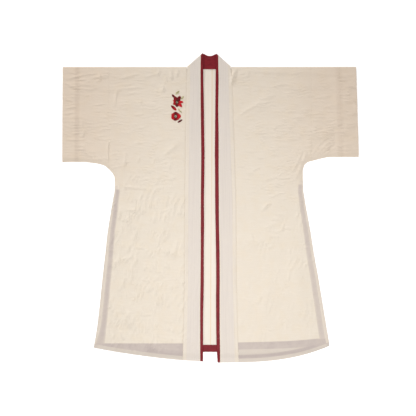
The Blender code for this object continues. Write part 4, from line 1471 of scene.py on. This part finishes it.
# %% Build both sleeves
for side in SIDES:
    points, back_rows = sleeve_grid(side)
    normals = grid_normals(points)
    # The front's normals, near the underarm, have to point up
    if normals[-20, 20, 2] < 0:
        normals = -normals
    x = np.abs(points[..., 0])
    is_front = np.arange(len(points))[:, None] >= back_rows + len(FOLD_ANGLES)
    points = dip(points, normals, np.where(is_front, x - SLEEVE_SEAM + SLEEVE_SEAM_FAINT, FAR))
    round_fold = FOLD_RADIUS * math.pi / 2
    flat_y = np.where(is_front, FOLD_Y - points[..., 1] + round_fold, points[..., 1] - FOLD_Y - round_fold)
    cut = np.stack([x, flat_y], -1)
    wide = points.shape[1]
    points, normals = turned_cuff(side, points, normals)
    added = points.shape[1] - wide
    beyond = cut[:, -1:, :] + np.stack([np.linspace(1.0, CUFF_DEPTH, added), np.zeros(added)], -1)[None]
    cut = np.concatenate([cut, beyond], axis=1)
    seam = np.abs(points[..., 0]) - SLEEVE_SEAM
    from_line = np.abs(points[..., 0]) - cuff_x(side, points[..., 1]) + CUFF_DEPTH
    inside = np.arange(points.shape[1])[None, :] >= wide
    start, end, strength = side.allowance
    allowance = strength * ease(start - 3.0, start + 3.0, from_line) * ease(-3.0, 3.0, end - from_line)
    nearest = np.minimum(seam + SLEEVE_SEAM_FAINT, np.abs(from_line) + 1.0)
    measures = {
        **PLAIN,
        "seam": np.where(inside, FAR, nearest),
        "allowance": np.where(inside, 0.0, allowance),
        # deep: painted shade towards the cuffs and the top
        "deep": painted_shade_to_cuffs(np.abs(points[..., 0]), points[..., 1]),
    }
    sleeve = sheet_mesh(
        f"sleeve_{side.name}_gauze", points, normals, GAUZE_HALF, GAUZE_HALF, cream_gauze, cut, measures
    )
    join_frame(sleeve, "cream_gauze", f"sleeve_{side.name}", f"cuff_facing_{side.name}")

# %% [markdown]
# ## The collar band
#
# One long band of gauze runs up one front, round the back of the neck and down the other.
# It is sewn to the fronts by its outer edge. At each side of the neck it turns over on a
# slanting fold, so that behind the neck its burgundy lining faces up. A curve with a flat
# bevel could draw it, but would twist at that fold. So lines across the band carry the
# grid: level ones up the front, then a fan, half a turn, and the back.

# %% Lines across the band
Lines = namedtuple("Lines", "sign seam free angle")
FAN_FROM = 440.0
FAN_LINES = 33
BACK_LINES = 25
BACK_COLLAR_TOP = 546.8


def front_lines(side):
    """The two ends of each line, from the front hem up to the slant of the neck fold."""
    centres = front_centres(side)[0][::-1]
    centres = centres[centres <= FAN_FROM]
    ends = {}
    for edge in ("seam", "free"):
        y = centres
        for _ in range(6):
            x = band_x(side, y, edge)
            y = row_y(side, side.front_hem, x, centres)
        ends[edge] = np.stack([x - (SEAM_GAP / 2 if edge == "seam" else 0.0), y], -1)
    share = np.linspace(0.0, 1.0, FAN_LINES + 1)[1:]
    seam_y = between(ends["seam"][-1, 1], side.turn.y, share)
    seam_x = between(band_x(side, seam_y, "seam") - SEAM_GAP / 2, side.turn.x, share**6)
    free = between(ends["free"][-1], np.array(side.peak), share[:, None])
    seam = np.vstack([ends["seam"], np.stack([seam_x, seam_y], -1)])
    return seam, np.vstack([ends["free"], free])


def half_band(side):
    """All the lines of one half: up the front, round the fold, and to the middle of the back."""
    seam, free = front_lines(side)
    angles = FOLD_ANGLES[::-1][1:]
    share = np.linspace(0.0, 1.0, BACK_LINES + 1)[1:, None]
    seam_y = between(side.turn.y, BACK_NECK_Y + SEAM_GAP / 2, ease(0.0, 1.0, share))
    free_y = between(side.peak.y, BACK_COLLAR_TOP, ease(0.0, 0.8, share))
    back_seam = np.hstack([between(side.turn.x, 0.0, share), seam_y])
    back_free = np.hstack([between(side.peak.x, 0.0, share), free_y])
    turn, peak = np.array(side.turn)[None], np.array(side.peak)[None]
    seam = np.vstack([seam, np.repeat(turn, len(angles), 0), back_seam])
    free = np.vstack([free, np.repeat(peak, len(angles), 0), back_free])
    front = len(seam) - len(angles) - len(share)
    angle = np.concatenate([np.full(front, np.nan), angles, np.full(len(share), -math.pi / 2)])
    return Lines(np.full(len(seam), side.sign), seam, free, angle)


def whole_band():
    """The lines of both halves, from the left front's hem to the right front's."""
    left, right = half_band(LEFT), half_band(RIGHT)
    joined = [np.concatenate([a, b[::-1][1:]]) for a, b in zip(left, right)]
    return Lines(*joined)


def band_points(lines, from_seam=None, from_free=None):
    """Points across the band at these distances from its seam edge, or from its free edge."""
    reach = lines.free - lines.seam
    width = np.linalg.norm(reach, axis=1)[:, None]
    along = from_seam if from_free is None else width - from_free
    share = along / width
    x = between(lines.seam[:, :1], lines.free[:, :1], share)
    y = between(lines.seam[:, 1:], lines.free[:, 1:], share)
    z = np.zeros(x.shape)
    on_front = np.isnan(lines.angle)
    for side in SIDES:
        rows = on_front & (lines.sign == side.sign)
        z[rows] = front_height(side, x[rows], y[rows])
    angle = lines.angle[~on_front][:, None]
    outward = np.stack([reach[:, 1], -reach[:, 0]], -1)[~on_front] / width[~on_front]
    x[~on_front] += outward[:, :1] * FOLD_RADIUS * np.cos(angle)
    y[~on_front] += outward[:, 1:] * FOLD_RADIUS * np.cos(angle)
    z[~on_front] = FOLD_MID + FOLD_RADIUS * np.sin(angle)
    return np.stack([lines.sign[:, None] * x, y, z], -1)


band_lines = whole_band()
band_width = np.linalg.norm(band_lines.free - band_lines.seam, axis=1)
heights = np.minimum(band_lines.free[:, 1], SHOULDER_Y)
trim_width = np.where(band_lines.sign < 0, *(band_x(side, heights, "binding") for side in SIDES))[:, None]
middle_line = band_points(band_lines, from_seam=band_width[:, None] / 2)[:, 0]
band_length = np.concatenate([[0.0], np.cumsum(np.linalg.norm(np.diff(middle_line, axis=0), axis=1))])
print(f"band: {band_length[-1] * MM:.3f} m long, {band_width[5]:.1f} mm wide at the hem")

# %% The band
# Along its seam runs a stitched strip with no lining under it. The lining's cast keeps clear
# of the binding by TRIM_MARGIN.
SEAM_STRIP = 13.0
TRIM_MARGIN = 3.4
BINDING_GAP = 0.05


def upward(points):
    """Normals that point up on the fronts and down behind the neck."""
    normals = grid_normals(points)
    return normals if normals[100, 0, 2] > 0 else -normals


strip_places = np.array([0.0, 1.0, 2.4, 5.5, 9.0, SEAM_STRIP])
rest = band_width[:, None] - trim_width - BINDING_GAP - SEAM_STRIP
beside_seam = np.tile(strip_places, (len(rest), 1))
across_band = np.hstack([beside_seam, SEAM_STRIP + rest * np.linspace(0.0, 1.0, 12)[None, 1:]])
points = band_points(band_lines, from_seam=across_band)
normals = upward(points)
points = dip(points, normals, across_band)
from_trim = band_width[:, None] - trim_width - BINDING_GAP - across_band
measures = {
    **PLAIN,
    "own": np.minimum(across_band - SEAM_STRIP, from_trim - TRIM_MARGIN),
    "seam": np.minimum(across_band, np.abs(across_band - SEAM_STRIP) + 1.8),
    # deep: painted shade towards the cuffs and the top, weaker on the band
    "deep": 0.6 * painted_shade_to_cuffs(np.abs(points[..., 0]), points[..., 1]),
}
cut = np.stack([across_band, np.repeat(band_length[:, None], across_band.shape[1], 1)], -1)
band = sheet_mesh("collar_band_gauze", points, normals, GAUZE_HALF, GAUZE_HALF, band_gauze, cut, measures)
join_frame(band, "band_gauze", "collar_band")

# %% Its lining
# Behind the neck the lining's lower edge comes down over the seam to LINING_EDGE_Y.
LINING_DEPTH = 0.95
SATIN_HALF = 0.2
LINING_EDGE_Y = 498.9
LINING_DROP = (62.0, 34.0)

inner_points = points - normals * LINING_DEPTH
behind = band_lines.angle == -math.pi / 2
below_neck = ease(*LINING_DROP, np.abs(inner_points[behind, 0, 0]))
inner_points[behind, 0, 1] = between(inner_points[behind, 0, 1], LINING_EDGE_Y, below_neck)
lining = sheet_mesh(
    "collar_lining_satin", inner_points, normals, SATIN_HALF, SATIN_HALF, burgundy_satin, cut
)
join_frame(lining, "burgundy_satin", "collar_lining")

# %% Its binding
# The binding is a folded strip, thickest in its middle, that puffs a little between the
# stitches. Its middle lies below the band's face, because it grips the band's edge.
BINDING = 2.4
BINDING_EDGE = 0.35
BINDING_DROP = 0.65
PUFF_HEIGHT = 0.14
PUFF_SPACING = (7.0, 6.0)

round_shares = 0.5 - 0.5 * np.cos(np.linspace(0.0, math.pi, 11))
from_free = trim_width * (1 - round_shares)[None, :]
points = band_points(band_lines, from_free=from_free)
normals = upward(points)
run = np.repeat(band_length[:, None], len(round_shares), 1)
puffs = PUFF_HEIGHT * soft_noise(run / PUFF_SPACING[0], from_free / PUFF_SPACING[1], 41)
swell = np.sqrt(np.clip(1 - (2 * round_shares - 1) ** 2, 0.0, 1.0))[None, :]
thickness = BINDING_EDGE + (BINDING / 2 - BINDING_EDGE + puffs) * swell
points = points - normals * BINDING_DROP
cut = np.stack([from_free, run], -1)
trim = sheet_mesh("collar_binding_satin", points, normals, thickness, thickness, burgundy_satin, cut)
join_frame(trim, "burgundy_satin", "collar_trim")

# %% [markdown]
# ## Facings inside the hems
#
# Strips of burgundy satin finish the hems and the side slits from inside. From above they
# are plain to see only between the fronts, at the back hem. Elsewhere the gauze veils
# them. They could be left to the material there, but from below the fronts' own show past
# the back hem. Each is made from the points of the cloth that it lines, moved in along the
# normals.

# %% Facings of the fronts
FACING_DEPTH = 1.0
BACK_FACING_DEPTH = 1.15
first_facing = int(np.argmax(BODY_SHARES >= 1.0))
last_facing = int(np.argmax(BODY_SHARES >= 2.0))
neck_columns = len(NECK_SHARES)
Flat = namedtuple("Flat", "slit slit_area hem")


def facing(name, node, points, normals, cut, depth=FACING_DEPTH):
    """A strip of satin this far under these points of the cloth."""
    under = points - normals * depth
    strip = sheet_mesh(name, under, normals, SATIN_HALF, SATIN_HALF, burgundy_satin, cut)
    return join_frame(strip, "burgundy_satin", node)


for side in SIDES:
    points, normals, cut, starts, rows = halves[side.name]
    y = points[:, neck_columns + first_facing, 1]
    below = np.arange(len(points)) > starts["front"]
    slit_row = int(np.argmax(below & (y < side.slit_top - SLIT_FACING_START)))
    down = slice(slit_row, rows["facing_end"] + 1)
    columns = slice(neck_columns + first_facing, neck_columns + last_facing + 1)
    node = f"front_slit_facing_{side.name}"
    slit = facing(f"{node}_satin", node, *(grid[down, columns] for grid in (points, normals, cut)))
    down = slice(rows["facing_top"], rows["facing_end"] + 1)
    columns = slice(neck_columns + 1, neck_columns + first_facing)
    node = f"front_hem_facing_{side.name}"
    hem = facing(f"{node}_satin", node, *(grid[down, columns] for grid in (points, normals, cut)))

# %% Facing of the back
strips = []
for side in SIDES:
    points, normals, cut, starts, rows = halves[side.name]
    # From the middle to two columns past where a slit's facing ends
    part = slice(1, rows["back_facing"] + 1), slice(0, neck_columns + last_facing + 2)
    strips.append([grid[part][:, :: side.sign] for grid in (points, normals, cut)])
points, normals, cut = (np.hstack([left, right]) for left, right in zip(*strips))
cut = np.stack([points[..., 0], cut[..., 1]], -1)
back_facing = facing(
    "back_hem_facing_satin", "back_hem_facing", points, normals, cut, BACK_FACING_DEPTH
)

# %% [markdown]
# ## Thread and floss
#
# Sewing thread is spun cotton, and embroidery floss is rayon, which is brighter and
# glossier. Each stitch could be a curve with a round bevel, but thousands of curves are
# slow to work with. So one function makes all the stitches of a colour as one mesh of
# short tubes, which dive into the cloth at both ends. Each stitch has a tone of its own.

# %% The yarn's look
# Yarn is spun and twisted from plies, so it has fine slanting bands of light and shade.
# They are 0.8 mm apart.
TWIST = 0.8 * MM


def yarn(name, deep, bright, roughness, sheen):
    """Twisted yarn, whose pieces go from deep to bright by their tone."""
    material, tree = blank_material(name)
    run = add(tree, "ShaderNodeUVMap", {"uv_map": "cut"}).outputs["UV"]
    slant = add(tree, "ShaderNodeMapping", Vector=run, Rotation=(0.0, 0.0, math.radians(35)))
    plies = add(
        tree,
        "ShaderNodeTexWave",
        {"wave_type": "BANDS", "bands_direction": "X"},
        Vector=slant.outputs["Vector"],
        Scale=WAVE_SCALE / TWIST,
    )
    body = tinted(
        tree,
        colour(deep),
        (
            Tint(bright, "tone", 0.0, 1.0, 0.0, 1.0, "LINEAR"),
            Tint(deep, plies.outputs["Fac"], 0.0, 0.5, 0.3, 0.0),
        ),
    )
    bump = add(tree, "ShaderNodeBump", Height=plies.outputs["Fac"], Strength=0.5, Distance=0.15 * MM)
    shader = add(
        tree,
        "ShaderNodeBsdfPrincipled",
        Base_Color=body,
        Roughness=roughness,
        IOR=1.53,
        Specular_IOR_Level=0.22,
        Sheen_Weight=sheen,
        Sheen_Roughness=0.3,
        Normal=bump.outputs["Normal"],
    )
    add(tree, "ShaderNodeOutputMaterial", Surface=shader.outputs["BSDF"])
    return material


cotton_thread = yarn("spun cotton sewing thread", "#b9ab97", "#e4dccf", 0.7, 0.05)
red_floss = yarn("red rayon floss", "#4e070f", "#d20c1e", 0.5, 0.0)
green_floss = yarn("green rayon floss", "#2f3228", "#c8c096", 0.5, 0.0)
print("yarns:", [yarn_kind.name for yarn_kind in (cotton_thread, red_floss, green_floss)])

# %% One mesh of many short tubes
YARN_SIDES = 5


def yarn_mesh(name, paths, ups, radii, tones, material, slot):
    """Short lengths of yarn along these paths, thinner where radii say, closed at both ends."""
    count, stops = radii.shape
    along = np.gradient(paths, axis=1)
    across = np.cross(along, ups)
    upright = np.cross(across, along)
    across, upright = (way / np.linalg.norm(way, axis=-1, keepdims=True) for way in (across, upright))
    angle = np.linspace(0.0, 2 * math.pi, YARN_SIDES, endpoint=False) - math.pi / 2
    ring = across[:, :, None] * np.cos(angle)[:, None] + upright[:, :, None] * np.sin(angle)[:, None]
    points = paths[:, :, None] + radii[:, :, None, None] * ring
    index = np.arange(count * stops * YARN_SIDES).reshape(count, stops, YARN_SIDES)
    turned = np.roll(index, -1, axis=2)
    walls = np.stack([index[:, :-1], index[:, 1:], turned[:, 1:], turned[:, :-1]], axis=-1)
    ends = np.concatenate([index[:, 0], index[:, -1, ::-1]])
    steps = np.linalg.norm(np.diff(paths, axis=1), axis=2)
    run = np.pad(np.cumsum(steps, axis=1), ((0, 0), (1, 0)))
    cut = np.stack([run[:, :, None] + 0 * angle, (angle + math.pi / 2) * radii[:, :, None]], axis=-1)
    tone = np.broadcast_to(tones[:, :, None], index.shape).ravel()
    faces = walls.reshape(-1, 4).tolist() + ends.tolist()
    obj = new_piece(name, points.reshape(-1, 3), faces, material, cut.reshape(-1, 2), {"tone": tone})
    return join_frame(obj, slot)


# %% [markdown]
# ## Lines of stitching
#
# Machine stitches hold the cuffs, the facings, the strip along the band's seam and the
# binding. They could be drawn in the material, but real ones catch the light. Each line
# follows the cloth's own height. The stitches are 4 mm apart, a little longer than a machine
# sews in cloth this light, so that they show.

# %% The stitches of one line
# A stitch lies on the cloth in its middle, and dives into it at both ends.
STITCH_PITCH = 4.0
STITCH_LENGTH = 2.8
STITCH_HALF = 0.25
STITCH_SINK = np.array([-0.3, 0.08, -0.3])
stitch_paths = []
stitch_ups = []


def sew(path, ups):
    """Stitches along a line of points on the cloth's face."""
    steps = np.linalg.norm(np.diff(path, axis=0), axis=1)
    run = np.concatenate([[0.0], np.cumsum(steps)])
    centres = np.arange(STITCH_PITCH, run[-1] - STITCH_PITCH, STITCH_PITCH)[:, None]
    places = centres + STITCH_LENGTH * np.array([-0.5, 0.0, 0.5])
    points = np.stack([np.interp(places, run, path[:, k]) for k in range(3)], axis=-1)
    up = np.stack([np.interp(places[:, 1:2], run, ups[:, k]) for k in range(3)], axis=-1)
    stitch_paths.append(points + up * STITCH_SINK[:, None])
    stitch_ups.append(up)


def sew_on_front(side, x, y):
    """A line of stitches on the front's upper face."""
    path = spatial(side, x, y, front_height(side, x, y) + GAUZE_HALF)
    sew(path, np.tile([0.0, 0.0, 1.0], (len(x), 1)))


def sew_under_back(side, x, y):
    """A line of stitches on the back's lower face."""
    path = spatial(side, x, y, back_height(side, x, y) - GAUZE_HALF)
    sew(path, np.tile([0.0, 0.0, -1.0], (len(x), 1)))


# %% Sew the cuffs, hems, slits, band and binding
EDGE_MARGIN = 1.5
for side in SIDES:
    y = np.linspace(underarm_y(side, side.cuff_end - CUFF_DEPTH) + 2.0, FOLD_Y, 200)
    x = cuff_x(side, y) - CUFF_DEPTH
    sew_on_front(side, x, y)
    sew_under_back(side, x, y)

    y = np.linspace(side.slit_top - SLIT_FACING_START, side.side_edge[0].height + side.hem_facing[1], 300)
    sew_on_front(side, side_x(side, y) - slit_offsets(side, y)[0] + EDGE_MARGIN, y)

    x = np.linspace(band_x(side, side.front_hem.centre, "seam") + 1.0, side.corner - 30.0, 200)
    sew_on_front(side, x, hem_y(side, side.front_hem, x) + side.hem_facing[0] - EDGE_MARGIN)
    x = np.linspace(1.0, side.corner - 8.0, 200)
    sew_under_back(side, x, hem_y(side, side.back_hem, x) + BACK_FACING - EDGE_MARGIN)

# Two lines run down the band on each front: just inside its strip's edge, and beside the binding
on_strip = np.full_like(trim_width, SEAM_STRIP - 0.9)
beside_trim = trim_width + 1.4
for places in ({"from_seam": on_strip}, {"from_free": beside_trim}):
    pair = {edge: np.hstack([line, line + 1.0]) for edge, line in places.items()}
    points = band_points(band_lines, **pair)
    normals = upward(points)
    for side in SIDES:
        rows = np.isnan(band_lines.angle) & (band_lines.sign == side.sign)
        sew(points[rows, 0] + normals[rows, 0] * GAUZE_HALF, normals[rows, 0])

paths, ups = np.concatenate(stitch_paths), np.concatenate(stitch_ups)
chance = np.random.default_rng(7)
radii = STITCH_HALF * np.tile([0.6, 1.0, 0.6], (len(paths), 1))
tones = np.tile(chance.uniform(0.3, 1.0, (len(paths), 1)), (1, 3))
yarn_mesh("stitching_cotton_thread", paths, ups, radii, tones, cotton_thread, "cream_thread")
print("stitches:", len(paths))

# %% [markdown]
# ## The embroidery
#
# Two red blossoms with buds and small leaves are worked in satin stitch on the left side
# of the chest. Satin stitch lays strands of floss side by side, so each petal is a fan of
# strands, longest in its middle, with a second row of short dark ones over its foot. A
# pattern in the material could stand for it, but real strands catch the light. An ordinary
# flower motif like this is drawn here from a few petals with a turn, a length, a width and
# a tone each.

# %% Blossoms, buds and leaves
Petal = namedtuple("Petal", "turn length width tone")
Blossom = namedtuple("Blossom", "x y heart point petals")
Leaf = namedtuple("Leaf", "foot tip width foot_tone tip_tone floss")
BLOSSOMS = (
    Blossom(
        x=-118.5,
        y=379.5,
        heart=4.6,
        point=0.5,
        petals=(
            Petal(268, 17, 14, 0.10),
            Petal(112, 24, 15, 0.22),
            Petal(63, 26, 14, 0.16),
            Petal(150, 16, 12, 0.62),
            Petal(206, 16, 12, 0.55),
            Petal(318, 25, 11.5, 0.94),
            Petal(3, 23, 10, 1.0),
        ),
    ),
    Blossom(
        x=-123.5,
        y=329.0,
        heart=5.4,
        point=0.26,
        petals=(
            Petal(92, 17, 15, 0.14),
            Petal(47, 16, 12, 0.34),
            Petal(266, 16, 15, 0.22),
            Petal(314, 16, 12, 0.66),
            Petal(155, 17, 13, 0.80),
            Petal(206, 17, 13, 0.84),
            Petal(4, 19, 15, 0.98),
        ),
    ),
)
LEAVES = (
    Leaf((-124, 408), (-110, 421), 6.5, 1.0, 0.8, "green"),
    Leaf((-126, 396), (-137, 408), 7.0, 0.20, 0.02, "red"),
    Leaf((-104, 390), (-94, 402), 6.0, 0.80, 1.00, "green"),
    Leaf((-121, 351), (-140, 368), 9.5, 0.9, 0.02, "red"),
    Leaf((-114, 357), (-108, 346), 4.0, 0.9, 1.0, "green"),
    Leaf((-109, 349), (-101, 343), 4.0, 0.95, 0.80, "green"),
    Leaf((-116, 307), (-99, 318), 6.0, 0.08, 0.0, "red"),
)

# %% Strands of floss
STRAND_SPACING = 0.8
STRAND_HALF = 0.5
STRAND_STOPS = np.linspace(0.0, 1.0, 6)
# Rings of knots in a blossom's heart, each a count and a share of the heart's radius
KNOT_RINGS = ((1, 0.0), (6, 0.42), (11, 0.86))
STAMEN_TURNS = (58, 84, 110, 136, 236, 262, 288, 314)
floss = {"red": [], "green": []}
chance = np.random.default_rng(19)


def lay_strands(kind, line, lift, tones, half=STRAND_HALF):
    """Strands of floss on the left front: their lines in the plane, height and tone."""
    x, y = line[..., 0], line[..., 1]
    arch = lift + 0.45 * np.sin(math.pi * STRAND_STOPS) - 0.35 * (np.abs(2 * STRAND_STOPS - 1) ** 6)
    z = front_height(LEFT, np.abs(x), y) + GAUZE_HALF + arch
    taper = half * (1 - 0.5 * np.abs(2 * STRAND_STOPS - 1) ** 4)
    tones = tones + chance.uniform(-0.07, 0.07, (len(line), 1))
    floss[kind].append((np.stack([x, y, z], axis=-1), np.tile(taper, (len(line), 1)), np.clip(tones, 0, 1)))


def fan(width, reach, start, tip_round):
    """Strands side by side: each point's place along and across, for a width and a reach."""
    count = max(3, round(width / STRAND_SPACING))
    across = np.linspace(-1.0, 1.0, count)[:, None]
    ragged = 1 + chance.uniform(-0.04, 0.04, (count, 1))
    along = STRAND_STOPS[None, :] * (1 - tip_round * np.abs(across) ** 2.4) * ragged
    return start + (reach - start) * along, across * width / 2, along


def plane(x, y, turn, out, aside):
    """Points in the plane from their distances out along a turn in degrees and aside of it."""
    cos, sin = math.cos(math.radians(turn)), math.sin(math.radians(turn))
    return np.stack([x + out * cos - aside * sin, y + out * sin + aside * cos], -1)


def embroider_petal(blossom, petal, order):
    """A fan of strands, and a shorter, darker one over its foot."""
    # A petal is narrow at its foot and widest past its middle
    out, aside, along = fan(petal.width, petal.length, blossom.heart - 1.0, blossom.point)
    spread = 0.42 + 0.62 * np.sin(math.pi * (0.08 + 0.62 * along))
    line = plane(blossom.x, blossom.y, petal.turn, out, aside * spread)
    lay_strands("red", line, 0.15 + 0.09 * order, petal.tone + 0.22 * (along - 0.55))
    out, aside, along = fan(petal.width * 0.62, petal.length * 0.52, blossom.heart - 1.4, 0.5)
    line = plane(blossom.x, blossom.y, petal.turn, out, aside)
    lay_strands("red", line[::2], 0.5 + 0.09 * order, np.full(out[::2].shape, petal.tone * 0.35))


def embroider_heart(blossom):
    """Green knots in the middle, and dark stamens round them."""
    for count, share in KNOT_RINGS:
        for i in range(count):
            out = blossom.heart * share + 0.9 * (STRAND_STOPS - 0.5)
            line = plane(blossom.x, blossom.y, 360 / count * i + 20 * count, out, 0.0)[None]
            lay_strands("green", line, 1.35, np.full((1, len(out)), 0.22), 0.8)
    for turn in STAMEN_TURNS:
        out = between(blossom.heart, blossom.heart + 5.5, STRAND_STOPS)
        line = plane(blossom.x, blossom.y, turn, out, 0.0)[None]
        lay_strands("green", line, 1.2, np.zeros((1, len(out))), 0.42)


def embroider_leaf(leaf):
    """Strands side by side from foot to tip, pointed at both ends."""
    reach = math.dist(leaf.foot, leaf.tip)
    turn = math.degrees(math.atan2(leaf.tip[1] - leaf.foot[1], leaf.tip[0] - leaf.foot[0]))
    out, aside, along = fan(leaf.width, reach, 0.0, 0.12)
    line = plane(*leaf.foot, turn, out, aside * np.sin(math.pi * (0.06 + 0.88 * along)) ** 0.7)
    lay_strands(leaf.floss, line, 0.2, between(leaf.foot_tone, leaf.tip_tone, along))


for blossom in BLOSSOMS:
    for order, petal in enumerate(blossom.petals):
        embroider_petal(blossom, petal, order)
    embroider_heart(blossom)
for leaf in LEAVES:
    embroider_leaf(leaf)

for kind, material in (("red", red_floss), ("green", green_floss)):
    paths, radii, tones = (np.concatenate(parts) for parts in zip(*floss[kind]))
    ups = np.tile([[0.0, 0.0, 1.0]], (len(paths), 1, 1))
    yarn_mesh(f"embroidery_{kind}_floss", paths, ups, radii, tones, material, f"{kind}_thread")
    print(f"{kind} strands:", len(paths))
